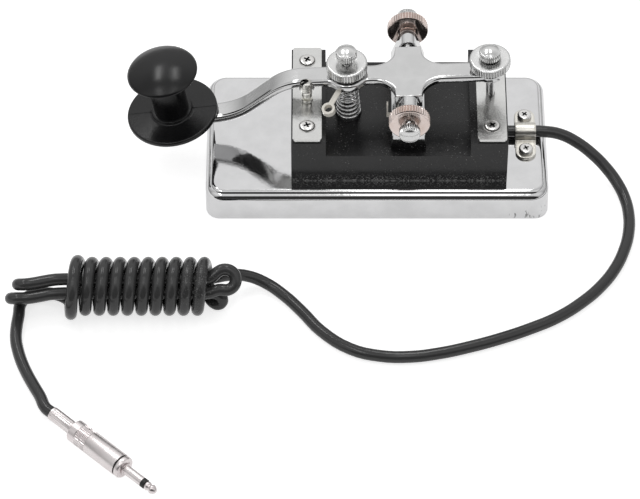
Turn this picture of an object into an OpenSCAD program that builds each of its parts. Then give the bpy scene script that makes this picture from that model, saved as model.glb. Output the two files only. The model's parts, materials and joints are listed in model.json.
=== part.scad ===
// Straight telegraph key on a plated base, with its lead wound in a hank and a 3.5 mm plug.
// X runs along the lever towards the lead, Y towards the back, Z up. Millimetres.
// The origin is the centre of the base's underside.

/* [Base] */
// Length of the base along X
base_l = 126; // [120:1:140]
// Depth of the base along Y
base_w = 62; // [60:1:70]
// Height of the base's lower step
base_step_h = 8.5; // [7:0.5:10]
// Whole height of the base
base_h = 13; // [12:0.5:15]
// How far the upper step stands in from the lower one
base_inset = 1; // [0.6:0.1:1.6]
// Radius of the base's corners in plan
base_corner_r = 7; // [5:0.5:9]
// Radius of the rounded top edge
base_edge_r = 2; // [1:0.25:2.5]

/* [Block] */
// Length of the moulded block
block_l = 79; // [77:1:82]
// Middle of the block along X
block_x = 8; // [7:0.5:9]
// Depth of the block along Y
block_w = 47.4; // [46:0.2:50]
// Height of the block's two ends
block_h = 20.1; // [19:0.5:22]
// Height of the block's sunken floor
floor_h = 13.4; // [12.5:0.1:14]
// Length of the end towards the knob
front_end_l = 12.6; // [12:0.2:14]
// Length of the end towards the lead
rear_end_l = 13.6; // [13:0.2:15]
// Height of the pad under the pivot bracket
pad_h = 2.7; // [2:0.1:3.2]

/* [Straps] */
// Width of each contact strap
strap_w = 10.6; // [10:0.2:12]
// Thickness of each contact strap
strap_t = 1.6; // [1.2:0.1:2]
// How far a strap stands in from the block's end faces
strap_inset = 0.5; // [0.3:0.1:0.8]
// Half the distance between a strap's two screws
strap_screw_y = 16.5; // [15:0.5:18]

/* [Pivot] */
// Place of the pivot along X
pivot_x = 11.3; // [10:0.1:12.5]
// Height of the pivot axis
pivot_z = 44.5; // [43.5:0.25:46]
// Half width of the pivot bracket
bracket_half_w = 6.2; // [5.8:0.1:6.6]
// Thickness of the bracket's foot
bracket_foot_t = 2.2; // [1.8:0.1:2.6]
// Inner face of each upright, from the middle
upright_in = 13.3; // [13:0.1:13.8]
// Outer face of each upright, from the middle
upright_out = 19.5; // [19:0.1:19.6]
// Radius of an upright's round top
upright_r = 3.3; // [3:0.1:3.6]
// Half the distance between the bracket's screws
bracket_screw_y = 7.8; // [7:0.1:8.4]

/* [Lever] */
// Angle of the lever at rest, knob end down
rest_tilt = 2.5; // [2:0.25:3]
// Thickness of the lever
lever_t = 3; // [2.6:0.1:3.4]
// Height of the lever's flat top over the pivot axis
lever_top = 2; // [1.8:0.1:2.4]
// Half width of the arms
arm_half_w = 4; // [3.6:0.1:4.4]
// Half length of the cross arm
cross_half_l = 12.5; // [12.2:0.1:12.6]
// Half width of the cross arm's ends
cross_half_w = 4.8; // [4.4:0.1:5.2]
// Depth of the cross arm under the pivot axis
cross_drop = 4; // [3.4:0.1:4.4]
// Radius of the curves between the cross arm and the long arms
cross_fillet = 8.2; // [7:0.2:8.4]
// Distance from the pivot to the tension screw
tension_x = 22.3; // [21.5:0.1:23.5]
// Radius of the round boss at the tension screw
tension_boss_r = 7.2; // [6.6:0.1:7.6]
// Distance from the pivot to the gap screw
gap_x = 29.8; // [29:0.1:30.6]
// Radius of the lever's rear end
gap_boss_r = 4.8; // [4.4:0.1:5.2]
// Distance from the pivot to the start of the downward bend
bend_start = 38.3; // [37.5:0.1:39]
// Angle that the bend turns down
bend_angle = 41.5; // [38:0.5:44]
// Radius of the upper bend
bend_r1 = 19; // [17:0.5:21]
// Radius of the lower bend
bend_r2 = 19.5; // [17.5:0.5:21]
// Length of the straight slope between the bends
slope_l = 11.8; // [11:0.2:13]
// Angle of the knob's seat, still downward
seat_angle = 6; // [5:0.5:8]
// Length of the knob's seat, from the lower bend to the knob's axis
seat_l = 16.8; // [16:0.1:18]

/* [Knob] */
// Radius of the finger disc
skirt_r = 16.8; // [15:0.1:18]
// Thickness of the finger disc
skirt_t = 2.1; // [1.8:0.1:3]
// Radius of the collar on the finger disc
skirt_collar_r = 7.5; // [7:0.1:8.5]
// Height of the collar on the finger disc
skirt_collar_h = 1.2; // [0.8:0.1:1.6]
// Radius of the knob
knob_r = 13; // [12:0.25:14]
// Radius of the knob's stem
knob_stem_r = 6.4; // [6:0.1:6.8]
// Height of the knob's widest edge over the finger disc
knob_rim_h = 21; // [18:0.5:22]
// Height of the dome over the knob's widest edge
knob_dome_h = 3.8; // [3.4:0.2:5]

/* [Screws] */
// Radius of the four thumb screws
thread_r = 1.7; // [1.6:0.05:1.8]
// Radius of the knurled nuts
nut_r = 7.5; // [7:0.1:8]
// Thickness of the knurled nuts
nut_t = 3.7; // [3.2:0.1:4]
// Radius of the small shoulder under each nut
nut_hub_r = 3.2; // [3:0.1:3.4]
// Height of the small shoulder under each nut
nut_hub_h = 2; // [1.6:0.1:2.4]
// Radius of the knurled screw heads
head_r = 3.85; // [3.5:0.05:4.2]
// Height of the knurled screw heads
head_h = 3.3; // [3:0.1:4]
// Height of the dome on each knurled head
head_dome = 1; // [0.5:0.1:1.2]
// Number of ridges round a nut
nut_ridges = 48; // [36:2:56]
// Number of ridges round a screw head
head_ridges = 28; // [20:2:32]
// Depth of the ridges
ridge_depth = 0.3; // [0.2:0.05:0.4]

/* [Contacts and spring] */
// Air gap between the contacts at rest
contact_gap = 0.9; // [0.6:0.1:1.2]
// Radius of the contact pin
contact_r = 1.85; // [1.6:0.05:2]
// How far the contacts stand forward of the lever's middle
contact_y = 2.6; // [2:0.1:3]
// Thickness of the spring's wire
wire_d = 0.9; // [0.7:0.05:1]
// Middle radius of the spring's lowest curl
spring_r1 = 4.5; // [4.2:0.1:4.7]
// Middle radius of the spring's highest curl
spring_r2 = 3.3; // [3.1:0.1:3.5]
// Number of curls in the spring
spring_curls = 8; // [6:1:9]

/* [Lead] */
// Diameter of the lead
cord_d = 4.4; // [4.2:0.1:4.5]
// Number of turns round the hank
wrap_turns = 10; // [8:1:10]
// Distance from one turn of the hank to the next
wrap_pitch = 5.04; // [5:0.02:5.1]
// Radius of the turns, to the middle of the lead
wrap_r = 8.5; // [8.4:0.1:9]
// Half the distance between neighbouring runs inside the hank
run_off = 2.5; // [2.48:0.01:2.54]
// Radius of the plug's shell
plug_r = 4.2; // [4:0.1:4.4]
// Length of the plug's shell
plug_l = 25; // [23:0.5:26]
// Radius of the plug's crimped tail sleeve
plug_tail_r = 2.5; // [2.4:0.05:2.8]
// Length of the plug's tail sleeve
plug_tail_l = 11; // [10:0.5:13]
// Radius of the plug's contact pin
jack_r = 1.75; // [1.75:0.05:1.8]
// Length of the plug's whole contact pin
jack_l = 15; // [14:0.5:15]

/* [Hidden] */
$fn = 48;

chrome = "silver";
plastic = "#1b1b1c";
brass = "#cdb9a8";
fit = 0.05; // running clearance on a radius
gap = 0.3; // clearance between pieces that must not touch
past = 1; // how far a cut runs on past the faces that it opens
tip_room = 1; // free depth of a blind hole beyond its screw's tip
screw_room = 0.2; // round a screw's shank, in the piece that it clamps

block_x0 = block_x - block_l / 2;
block_x1 = block_x + block_l / 2;
block_top = base_h + block_h;
floor_z = base_h + floor_h;
pad_z = floor_z + pad_h;
strap_z = block_top;
strap_top = strap_z + strap_t;
strap_l = block_w - 2 * strap_inset;
front_strap_x = block_x0 + strap_inset + strap_w / 2;
rear_strap_x = block_x1 - strap_inset - strap_w / 2;

pan_r = 3.3; // strap screw head
pan_h = 1.8;
screw_r = 1.55; // strap screw shank
screw_l = 9;

// The lever's own frame has the pivot axis at its origin.
module on_lever() {
    translate([pivot_x, 0, pivot_z]) rotate([0, -rest_tilt, 0]) children();
}
function lever_point(x, z) = [
    pivot_x + x * cos(rest_tilt) - z * sin(rest_tilt), 0,
    pivot_z + x * sin(rest_tilt) + z * cos(rest_tilt)];

// A block with round corners in plan, standing on z = 0.
module rounded_plate(l, w, h, r) {
    linear_extrude(h) rounded_rectangle(l, w, r);
}
module rounded_rectangle(l, w, r) {
    square([l - 2 * r, w], center = true);
    square([l, w - 2 * r], center = true);
    for (sx = [-1, 1], sy = [-1, 1]) translate([sx * (l / 2 - r), sy * (w / 2 - r)]) circle(r);
}
// The same with its top edge rounded by a radius e.
module crowned_plate(l, w, h, r, e) {
    rounded_plate(l, w, h - e, r);
    hull() for (sx = [-1, 1], sy = [-1, 1])
        translate([sx * (l / 2 - r), sy * (w / 2 - r), h - e]) rotate_extrude($fn = 32) {
            square([r - e, e]);
            translate([r - e, 0]) intersection() { circle(e, $fn = 24); square(e); }
        }
}

clamp_w = 7.6;
clamp_gap = 3.7; // from the block's end face to the cable clamp
clamp_x = block_x1 + clamp_gap + clamp_w / 2;
clamp_y = -1.1;
clamp_span = 17; // between its two screws
clamp_t = 1;
clamp_room = 0.1; // round the lead under the clamp
clamp_screw_r = 1.25;
clamp_screw_in = 5; // how deep its screws go into the base
clamp_head_r = 2.6;
clamp_head_h = 1.7;
cord_z = base_h + cord_d / 2 + clamp_room; // middle of the lead where it lies on the base

// The block's screws come from under the base, with their heads sunk in pockets.
block_head_r = 3.4;
block_head_h = 2.6;
block_head_sink = 1; // from the underside to the heads
block_screw_in = 6; // how deep they go into the block
pocket_room = 0.4; // round a head in its pocket

function strap_screw_spots() =
    [for (x = [front_strap_x, rear_strap_x], sy = [-1, 1]) [x, sy * strap_screw_y]];
function clamp_screw_spots() = [for (sy = [-1, 1]) [clamp_x, clamp_y + sy * clamp_span / 2]];

module base_plate() {
    color(chrome) difference() {
        union() {
            rounded_plate(base_l, base_w, base_step_h, base_corner_r);
            translate([0, 0, base_step_h])
                crowned_plate(base_l - 2 * base_inset, base_w - 2 * base_inset, base_h - base_step_h,
                    base_corner_r - base_inset, base_edge_r);
        }
        for (p = strap_screw_spots()) translate([p.x, p.y, -past]) {
            cylinder(r = screw_r + gap, h = base_h + 2 * past);
            cylinder(r = block_head_r + pocket_room, h = block_head_h + block_head_sink + past);
        }
        for (p = clamp_screw_spots()) translate([p.x, p.y, base_h - clamp_screw_in - tip_room])
            cylinder(r = clamp_screw_r, h = clamp_screw_in + tip_room + past);
    }
}

wire_r = 0.8;
wire_room = 0.2; // under the wires in their channel
wire_off = 1; // of each wire from the middle of the lead
riser_r = 1.6; // of the upright bores for the wires
channel_w = 4.4;
channel_h = 2.6;
channel_end = 3; // how far the channel goes on past the anvil
mouth_l = 9; // how deep the lead goes into the block
mouth_r = cord_d / 2 + 0.15;
small_head_r = 2.9; // heads of the bracket's and the knob's screws
small_head_h = 1.7;
bracket_screw_in = 5; // how deep the bracket's screws go into the block
pad_room = 0.2; // how far the pad stands out round the bracket's foot

module insulator_block() {
    pad_w = 2 * (bracket_half_w + pad_room);
    pad_l = 2 * (upright_out + gap);
    riser_z = base_h - past;
    color(plastic) difference() {
        union() {
            translate([block_x0, block_w / 2, base_h]) rotate([90, 0, 0]) linear_extrude(block_w) polygon([
                [0, 0], [block_l, 0], [block_l, block_h], [block_l - rear_end_l, block_h],
                [block_l - rear_end_l, floor_h], [front_end_l, floor_h], [front_end_l, block_h],
                [0, block_h]]);
            translate([pivot_x - pad_w / 2, -pad_l / 2, floor_z]) cube([pad_w, pad_l, pad_h]);
        }
        for (p = strap_screw_spots()) {
            translate([p.x, p.y, block_top - screw_l]) cylinder(r = screw_r, h = screw_l + past);
            translate([p.x, p.y, base_h - past])
                cylinder(r = screw_r, h = block_screw_in + tip_room + past);
        }
        for (sy = [-1, 1]) translate([pivot_x, sy * bracket_screw_y, pad_z - bracket_screw_in - tip_room])
            cylinder(r = screw_r, h = bracket_screw_in + tip_room + past);
        // the mouth for the lead, and the wire channel under the block
        translate([block_x1 - mouth_l, clamp_y, cord_z]) rotate([0, 90, 0])
            cylinder(r = mouth_r, h = mouth_l + past);
        translate([block_x1 - mouth_l, clamp_y - mouth_r, base_h - past])
            cube([mouth_l + past, 2 * mouth_r, cord_z - base_h + past]);
        translate([front_strap_x - channel_end, clamp_y - channel_w / 2, base_h - past])
            cube([block_x1 - mouth_l - front_strap_x + channel_end + past, channel_w, channel_h + past]);
        // risers from the channel to the anvil and to the pivot bracket
        translate([front_strap_x, -contact_y, riser_z]) cylinder(r = riser_r, h = block_h + 2 * past);
        translate([pivot_x, 0, riser_z]) cylinder(r = riser_r, h = floor_h + pad_h + 2 * past);
    }
}

// A pan head screw pointing down, its head's underside at z = 0.
head_side = 0.45; // share of a head's height that is straight
head_crown = 0.62; // radius of its flat top, as a share of the head's
slot_l = 1.1; // length and width of the crossed slots, as shares of the head's radius
slot_w = 0.24;
module pan_screw(radius, height, shank_radius, length) {
    side_h = height * head_side;
    difference() {
        union() {
            cylinder(r = radius, h = side_h);
            translate([0, 0, side_h]) cylinder(r1 = radius, r2 = radius * head_crown, h = height - side_h);
            translate([0, 0, -length]) cylinder(r = shank_radius, h = length);
        }
        for (a = [0, 90]) rotate(a) translate([-radius * slot_l / 2, -radius * slot_w / 2, side_h])
            cube([radius * slot_l, radius * slot_w, height]);
    }
}

module block_screws() {
    seat_z = block_head_sink + block_head_h;
    color(chrome) for (p = strap_screw_spots()) translate([p.x, p.y, seat_z]) rotate([180, 0, 0])
        pan_screw(block_head_r, block_head_h, screw_r - fit, base_h - seat_z + block_screw_in);
}

strap_corner_r = 1;
anvil_h = 0.5;
anvil_r = 2.1;
anvil_pin_r = 1.4;
anvil_pin_drop = 1; // how far the anvil's pin goes on under the strap
module contact_strap(x) {
    difference() {
        translate([x, 0, strap_z]) rounded_plate(strap_w, strap_l, strap_t, strap_corner_r);
        for (sy = [-1, 1]) translate([x, sy * strap_screw_y, strap_z - past])
            cylinder(r = screw_r + screw_room, h = strap_t + 2 * past);
    }
}
module front_contact_strap() {
    color(chrome) difference() {
        contact_strap(front_strap_x);
        translate([front_strap_x, -contact_y, strap_z - past])
            cylinder(r = anvil_pin_r, h = strap_t + 2 * past);
    }
}
module rear_stop_strap() { color(chrome) contact_strap(rear_strap_x); }

module strap_screws() {
    color(chrome) for (p = strap_screw_spots()) translate([p.x, p.y, strap_top])
        pan_screw(pan_r, pan_h, screw_r - fit, strap_t + screw_l - tip_room);
}

module contact_anvil() {
    color("lightgray") translate([front_strap_x, -contact_y, 0]) {
        translate([0, 0, strap_top]) cylinder(r = anvil_r, h = anvil_h);
        translate([0, 0, strap_z - anvil_pin_drop])
            cylinder(r = anvil_pin_r - fit, h = strap_t + anvil_pin_drop);
    }
}

// Where a line from the point (w, 0) touches the circle of radius r round (0, h), on its outer side.
function touch_point(w, h, r) =
    let (d = norm([w, h]), a = atan2(h, -w), b = asin(r / d), l = sqrt(d * d - r * r))
    [w + l * cos(a - b), l * sin(a - b)];

shoulder_h = 7.3; // from the bracket's underside to where its uprights start to taper
module upright_outline() {
    axis_h = pivot_z - pad_z;
    t = touch_point(bracket_half_w, axis_h - shoulder_h, upright_r) + [0, shoulder_h];
    translate([0, axis_h]) circle(upright_r);
    polygon([[-bracket_half_w, 0], [bracket_half_w, 0], [bracket_half_w, shoulder_h], t,
        [-t.x, t.y], [-bracket_half_w, shoulder_h]]);
}

module pivot_bracket() {
    color(chrome) difference() {
        translate([pivot_x, 0, pad_z]) union() {
            for (y = [upright_out, -upright_in]) translate([0, y, 0]) rotate([90, 0, 0])
                linear_extrude(upright_out - upright_in) upright_outline();
            translate([-bracket_half_w, -upright_out, 0])
                cube([2 * bracket_half_w, 2 * upright_out, bracket_foot_t]);
        }
        translate([pivot_x, -upright_out - past, pivot_z]) rotate([-90, 0, 0])
            cylinder(r = thread_r + fit, h = 2 * (upright_out + past));
        for (sy = [-1, 1]) translate([pivot_x, sy * bracket_screw_y, pad_z - past])
            cylinder(r = screw_r + screw_room, h = bracket_foot_t + 2 * past);
    }
}

tag_t = 0.6;
module bracket_screws() {
    color(chrome) for (sy = [-1, 1])
        translate([pivot_x, sy * bracket_screw_y, pad_z + bracket_foot_t + (sy < 0 ? tag_t : 0)])
            pan_screw(small_head_r, small_head_h, screw_r - fit, bracket_foot_t + bracket_screw_in);
}

// The tag under the bracket's front screw, bent up beside the bracket.
module pivot_solder_tag() {
    z = pad_z + bracket_foot_t;
    reach = 8;
    rise = 6.4;
    tail_w = 1.8;
    eye_r = 0.5;
    eye_drop = 1.1; // from the tag's upper end to its eye
    color("gainsboro") translate([pivot_x, -bracket_screw_y, z]) difference() {
        union() {
            cylinder(r = small_head_r, h = tag_t);
            translate([-reach, -tail_w / 2, 0]) cube([reach, tail_w, tag_t]);
            translate([-reach, -tail_w / 2, 0]) cube([tag_t, tail_w, rise]);
        }
        translate([0, 0, -past]) cylinder(r = screw_r + screw_room / 2, h = tag_t + 2 * past);
        translate([-reach - past, 0, rise - eye_drop]) rotate([0, 90, 0])
            cylinder(r = eye_r, h = tag_t + 2 * past);
    }
}

// Two leads lie in the channel under the block: one rises to the anvil, one to the bracket.
module inner_wire(x, y, top, y_in) {
    z = base_h + wire_r + wire_room;
    x_in = block_x1 - mouth_l;
    $fn = 24;
    color("firebrick") {
        translate([x, y_in, z]) rotate([0, 90, 0]) cylinder(r = wire_r, h = x_in - x);
        translate([x, y_in, z]) sphere(r = wire_r);
        translate([x, min(y, y_in), z]) rotate([-90, 0, 0]) cylinder(r = wire_r, h = abs(y - y_in));
        translate([x, y, z]) sphere(r = wire_r);
        translate([x, y, z]) cylinder(r = wire_r, h = top - z);
    }
}
module signal_wire() {
    inner_wire(front_strap_x, -contact_y, strap_z - anvil_pin_drop, clamp_y - wire_off);
}
module pivot_wire() { inner_wire(pivot_x, 0, pad_z, clamp_y + wire_off); }

module cable_clamp() {
    r_in = cord_d / 2 + clamp_room;
    r_out = r_in + clamp_t;
    ear_l = (clamp_span + clamp_w) / 2;
    color("whitesmoke") difference() {
        union() {
            translate([clamp_x, clamp_y, base_h]) linear_extrude(clamp_t) union() {
                square([clamp_w, clamp_span], center = true);
                for (sy = [-1, 1]) translate([0, sy * clamp_span / 2]) circle(clamp_w / 2);
            }
            translate([clamp_x - clamp_w / 2, clamp_y, cord_z]) rotate([0, 90, 0])
                cylinder(r = r_out, h = clamp_w);
            translate([clamp_x - clamp_w / 2, clamp_y - r_out, base_h])
                cube([clamp_w, 2 * r_out, cord_z - base_h]);
        }
        translate([clamp_x - clamp_w / 2 - past, clamp_y, cord_z]) rotate([0, 90, 0])
            cylinder(r = r_in, h = clamp_w + 2 * past);
        translate([clamp_x - clamp_w / 2 - past, clamp_y - r_in, base_h - past])
            cube([clamp_w + 2 * past, 2 * r_in, cord_z - base_h + past]);
        translate([clamp_x - ear_l, clamp_y - ear_l, base_h - cord_d]) cube([2 * ear_l, 2 * ear_l, cord_d]);
        for (p = clamp_screw_spots()) translate([p.x, p.y, base_h - past])
            cylinder(r = clamp_screw_r + screw_room, h = clamp_t + 2 * past);
    }
}
module clamp_screws() {
    color(chrome) for (p = clamp_screw_spots()) translate([p.x, p.y, base_h + clamp_t])
        pan_screw(clamp_head_r, clamp_head_h, clamp_screw_r - fit, clamp_t + clamp_screw_in);
}

// Tubes swept along points. Each ring's first side is carried along the path without twist.
function unit(v) = v / norm(v);
function heading(p, i) = unit(p[min(i + 1, len(p) - 1)] - p[max(i - 1, 0)]);
function sides_of(p, first) = [for (i = 0, t = heading(p, 0), n = unit(first - t * (first * t)); i < len(p);
    i = i + 1, t = heading(p, min(i, len(p) - 1)), n = unit(n - t * (n * t))) [n, cross(t, n)]];
module tube(p, r, sides, first = [0, 0, 1]) {
    s = sides_of(p, first);
    n = len(p);
    rings = [for (i = [0:n - 1], k = [0:sides - 1])
        let (a = 360 * k / sides) p[i] + r * (cos(a) * s[i][0] + sin(a) * s[i][1])];
    walls = [for (i = [0:n - 2], k = [0:sides - 1]) let (a = i * sides + k, b = i * sides + (k + 1) % sides)
        each [[a, a + sides, b], [b, a + sides, b + sides]]];
    caps = [for (k = [1:sides - 2]) each [[0, k, k + 1],
        [(n - 1) * sides, (n - 1) * sides + k + 1, (n - 1) * sides + k]]];
    polyhedron(concat(rings, [p[0], p[n - 1]]), concat(walls, caps), convexity = 10);
}
// The least distance between parts of a path that are at least skip points apart.
function least_gap(p, skip) =
    min([for (i = [0:len(p) - 1 - skip], j = [i + skip:len(p) - 1]) norm(p[i] - p[j])]);

cup_t = 1;
cup_drop = 1.4; // from the lever's underside to the spring cup
cup_lip = 1; // depth of the cup's core inside the spring
cup_room = 0.4; // between that core and the spring
cup_under = lever_top - lever_t - cup_drop - cup_t;
spring_z0 = floor_z;
spring_z1 = lever_point(-tension_x, cup_under).z - gap;
spring_x = lever_point(-tension_x, 0).x;
spring_foot = [0.5, -1.6, 0]; // the foot stands a little forward of the top
spring_rings = 8; // for each curl
function spring_point(s) =
    let (a = 360 * spring_curls * s, r = spring_r1 + (spring_r2 - spring_r1) * s,
        z = spring_z0 + wire_d / 2 + (spring_z1 - spring_z0 - wire_d) * s)
    [spring_x + r * cos(a), r * sin(a), z] + (1 - s) * spring_foot;
spring_path = [for (i = [0:spring_curls * spring_rings]) spring_point(i / (spring_curls * spring_rings))];

module tension_spring() {
    echo(spring_least_gap = least_gap(spring_path, spring_rings - 2) - wire_d);
    color(chrome) tube(spring_path, wire_d / 2, 6);
}

// The lever's outline in plan: cross arm, two long arms, the round boss and the round end.
module corner_fill(sx, sy, x, y, r) {
    translate([sx * x, sy * y]) scale([sx, sy]) difference() {
        square(r);
        translate([r, r]) circle(r);
    }
}
module lever_plan() {
    translate([p_nose.x, -arm_half_w]) square([gap_x - p_nose.x, 2 * arm_half_w]);
    square([2 * cross_half_w, 2 * cross_half_l], center = true);
    for (sx = [-1, 1], sy = [-1, 1]) corner_fill(sx, sy, cross_half_w, arm_half_w, cross_fillet);
    translate([-tension_x, 0]) circle(tension_boss_r);
    translate([gap_x, 0]) circle(gap_boss_r);
}

// The lever's side view: points along the top of the flat, the bends and the seat.
bend_steps = 10;
function arc_step(p, a, r, turn, k) =
    let (b = a + turn * k, s = turn > 0 ? 1 : -1)
    [p.x - r * (sin(b) - sin(a)) * s, p.y - r * (cos(a) - cos(b)) * s];
p_bend = [-bend_start, lever_top];
top_arc = [for (i = [0:bend_steps]) arc_step(p_bend, 0, bend_r1, bend_angle, i / bend_steps)];
p_slope = top_arc[bend_steps] - slope_l * [cos(bend_angle), sin(bend_angle)];
low_arc = [for (i = [0:bend_steps])
    arc_step(p_slope, bend_angle, bend_r2, seat_angle - bend_angle, i / bend_steps)];
p_seat = low_arc[bend_steps] - seat_l * [cos(seat_angle), sin(seat_angle)];
nose_l = 5; // the arm goes on past the knob's axis
p_nose = p_seat - nose_l * [cos(seat_angle), sin(seat_angle)];
top_line = concat([[gap_x + gap_boss_r, lever_top]], top_arc, low_arc, [p_nose]);
top_angles = concat([0], [for (i = [0:bend_steps]) bend_angle * i / bend_steps],
    [for (i = [0:bend_steps]) bend_angle + (seat_angle - bend_angle) * i / bend_steps], [seat_angle]);
under_line = [for (i = [0:len(top_line) - 1])
    top_line[i] + lever_t * [sin(top_angles[i]), -cos(top_angles[i])]];
function backwards(v) = [for (i = [len(v) - 1:-1:0]) v[i]];

cup_depth = 1.5; // of the cross arm's cups for the pivot screws' points
point_r = 0.1; // of the cups' and the points' small ends
boss_r = 3; // of the boss that carries the contact pin
boss_h = 1.2; // under the lever
boss_sink = 0.2; // its hidden end, under the lever's top
peg_r = 1.2; // of the contact pin's end in the boss
peg_l = 1.6;
lever_under = lever_top - lever_t;
module lever_bore(x) {
    translate([x, 0, lever_under - past]) cylinder(r = thread_r + fit, h = lever_t + 2 * past);
}
module lever() {
    low = p_nose.y - 2 * lever_t;
    color(chrome) on_lever() difference() {
        union() {
            intersection() {
                translate([0, cross_half_l + past, 0]) rotate([90, 0, 0])
                    linear_extrude(2 * (cross_half_l + past))
                        polygon(concat(top_line, backwards(under_line)));
                translate([0, 0, low]) linear_extrude(lever_top + past - low) lever_plan();
            }
            translate([-cross_half_w, -cross_half_l, -cross_drop])
                cube([2 * cross_half_w, 2 * cross_half_l, cross_drop + lever_top]);
            translate([front_contact_x, -contact_y, lever_under - boss_h])
                cylinder(r = boss_r, h = lever_t + boss_h - boss_sink);
        }
        for (sy = [-1, 1]) translate([0, sy * (cross_half_l - cup_depth), 0]) rotate([-sy * 90, 0, 0])
            cylinder(r1 = point_r, r2 = thread_r, h = cup_depth + 0.01);
        lever_bore(-tension_x);
        lever_bore(gap_x);
        translate([front_contact_x, -contact_y, pin_top - past])
            cylinder(r = peg_r, h = peg_l + tip_room + past);
        translate([p_seat.x, 0, p_seat.y]) rotate([0, -seat_angle, 0]) translate([0, 0, -lever_t - past])
            cylinder(r = screw_r + screw_room, h = lever_t + 2 * past);
    }
}

// The contact pin hangs from its boss to a gap over the anvil.
contact_back = 0.4; // how far its top stands towards the knob, so that its tip comes down on the anvil
front_contact_x = front_strap_x - pivot_x - contact_back;
pin_top = lever_under - boss_h;
pin_low = (strap_top + anvil_h + contact_gap - pivot_z) - front_contact_x * sin(rest_tilt);
module contact_pin() {
    color("lightgray") on_lever() translate([front_contact_x, -contact_y, 0]) {
        translate([0, 0, pin_low]) cylinder(r = contact_r, h = pin_top - pin_low);
        translate([0, 0, pin_top]) cylinder(r = peg_r - fit, h = peg_l);
    }
}

// A solder tag clamped under the lever by the tension screw's cup, its eye bent down in front.
tag_angle = -120;
tag_reach = 14.5;
tag_bend = 5.2; // where the tag starts to bend down
tag_droop = 14;
module lever_solder_tag() {
    washer_r = 3.4;
    eye_r = 2.45;
    eye_hole = 1.5;
    eye_h = 2.2;
    tail_w = 2;
    tail_l = tag_reach - tag_bend;
    color("ivory") on_lever() translate([-tension_x, 0, lever_under - tag_t]) rotate([0, 0, tag_angle]) {
        difference() {
            union() {
                cylinder(r = washer_r, h = tag_t);
                translate([0, -tail_w / 2, 0]) cube([tag_bend, tail_w, tag_t]);
            }
            translate([0, 0, -past]) cylinder(r = thread_r + 3 * fit, h = tag_t + 2 * past);
        }
        translate([tag_bend, 0, 0]) rotate([0, tag_droop, 0]) difference() {
            union() {
                translate([-fit, -tail_w / 2, 0]) cube([tail_l, tail_w, tag_t]);
                translate([tail_l, 0, tag_t - eye_h]) cylinder(r = eye_r, h = eye_h);
            }
            translate([tail_l, 0, -eye_h]) cylinder(r = eye_hole, h = 2 * eye_h);
        }
    }
}

// The knob's own frame stands on the lever's seat.
module on_seat() {
    on_lever() translate([p_seat.x, 0, p_seat.y]) rotate([0, -seat_angle, 0]) children();
}
rim_r = 0.7;
module knob_skirt() {
    color(plastic) on_seat() difference() {
        rotate_extrude($fn = 72) {
            square([skirt_r - rim_r, skirt_t]);
            translate([0, rim_r]) square([skirt_r, skirt_t - 2 * rim_r]);
            for (z = [rim_r, skirt_t - rim_r]) translate([skirt_r - rim_r, z]) circle(rim_r, $fn = 24);
            square([skirt_collar_r, skirt_t + skirt_collar_h]);
        }
        translate([0, 0, -past]) cylinder(r = screw_r + screw_room, h = skirt_t + skirt_collar_h + 2 * past);
    }
}

// The knob: a waisted stem that flares under a domed cap.
knob_screw_in = 7; // how deep its screw goes into the knob
brim_t = 1; // thickness of the cap's edge
brim_r = 0.5; // of its rounding
brim_out = 0.8; // how far the edge stands out past the flare
flare_r = knob_r - brim_out - knob_stem_r;
module finger_knob() {
    z0 = skirt_t + skirt_collar_h;
    rim_z = skirt_t + knob_rim_h;
    ball_r = (knob_r * knob_r + knob_dome_h * knob_dome_h) / (2 * knob_dome_h);
    color(plastic) on_seat() difference() {
        rotate_extrude($fn = 72) {
            translate([0, z0]) square([knob_stem_r, rim_z - z0]);
            difference() {
                translate([0, rim_z - brim_t - flare_r]) square([knob_stem_r + flare_r, flare_r]);
                translate([knob_stem_r + flare_r, rim_z - brim_t - flare_r]) circle(flare_r);
            }
            translate([0, rim_z - brim_t]) square([knob_r - brim_r, brim_t]);
            translate([knob_r - brim_r, rim_z - brim_r]) circle(brim_r, $fn = 24);
            intersection() {
                translate([0, rim_z + knob_dome_h - ball_r]) circle(ball_r, $fn = 180);
                translate([0, rim_z - brim_r]) square([knob_r, knob_dome_h + 2 * brim_r]);
            }
        }
        translate([0, 0, z0 - past]) cylinder(r = screw_r, h = knob_screw_in + tip_room + past);
    }
}
module knob_screw() {
    length = lever_t + skirt_t + skirt_collar_h + knob_screw_in;
    color(chrome) on_seat() translate([0, 0, -lever_t]) rotate([180, 0, 0])
        pan_screw(small_head_r, small_head_h, screw_r - fit, length);
}

// Ridged discs, standing on z = 0.
module ridged(r, h, ridges) {
    linear_extrude(h) polygon([for (i = [0:2 * ridges - 1])
        let (q = r - (i % 2) * ridge_depth) q * [cos(180 * i / ridges), sin(180 * i / ridges)]]);
}
// A knurled nut on its shoulder, bored to run on the screw.
module knurled_nut() {
    difference() {
        union() {
            cylinder(r = nut_hub_r, h = nut_hub_h);
            translate([0, 0, nut_hub_h]) ridged(nut_r, nut_t, nut_ridges);
        }
        translate([0, 0, -past]) cylinder(r = thread_r + fit, h = nut_hub_h + nut_t + 2 * past);
    }
}
// A thumb screw whose head's underside is at z = 0 and whose shank goes down.
module thumb_screw(length) {
    translate([0, 0, -length]) cylinder(r = thread_r, h = length + past);
    ridged(head_r, head_h, head_ridges);
    translate([0, 0, head_h]) intersection() {
        cylinder(r = dome_r, h = head_dome);
        translate([0, 0, head_dome - dome_ball]) sphere(r = dome_ball, $fn = 96);
    }
}
dome_edge = 0.1; // flat ring between a head's ridges and its dome
dome_r = head_r - ridge_depth - dome_edge;
dome_ball = (dome_r * dome_r + head_dome * head_dome) / (2 * head_dome);

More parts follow.
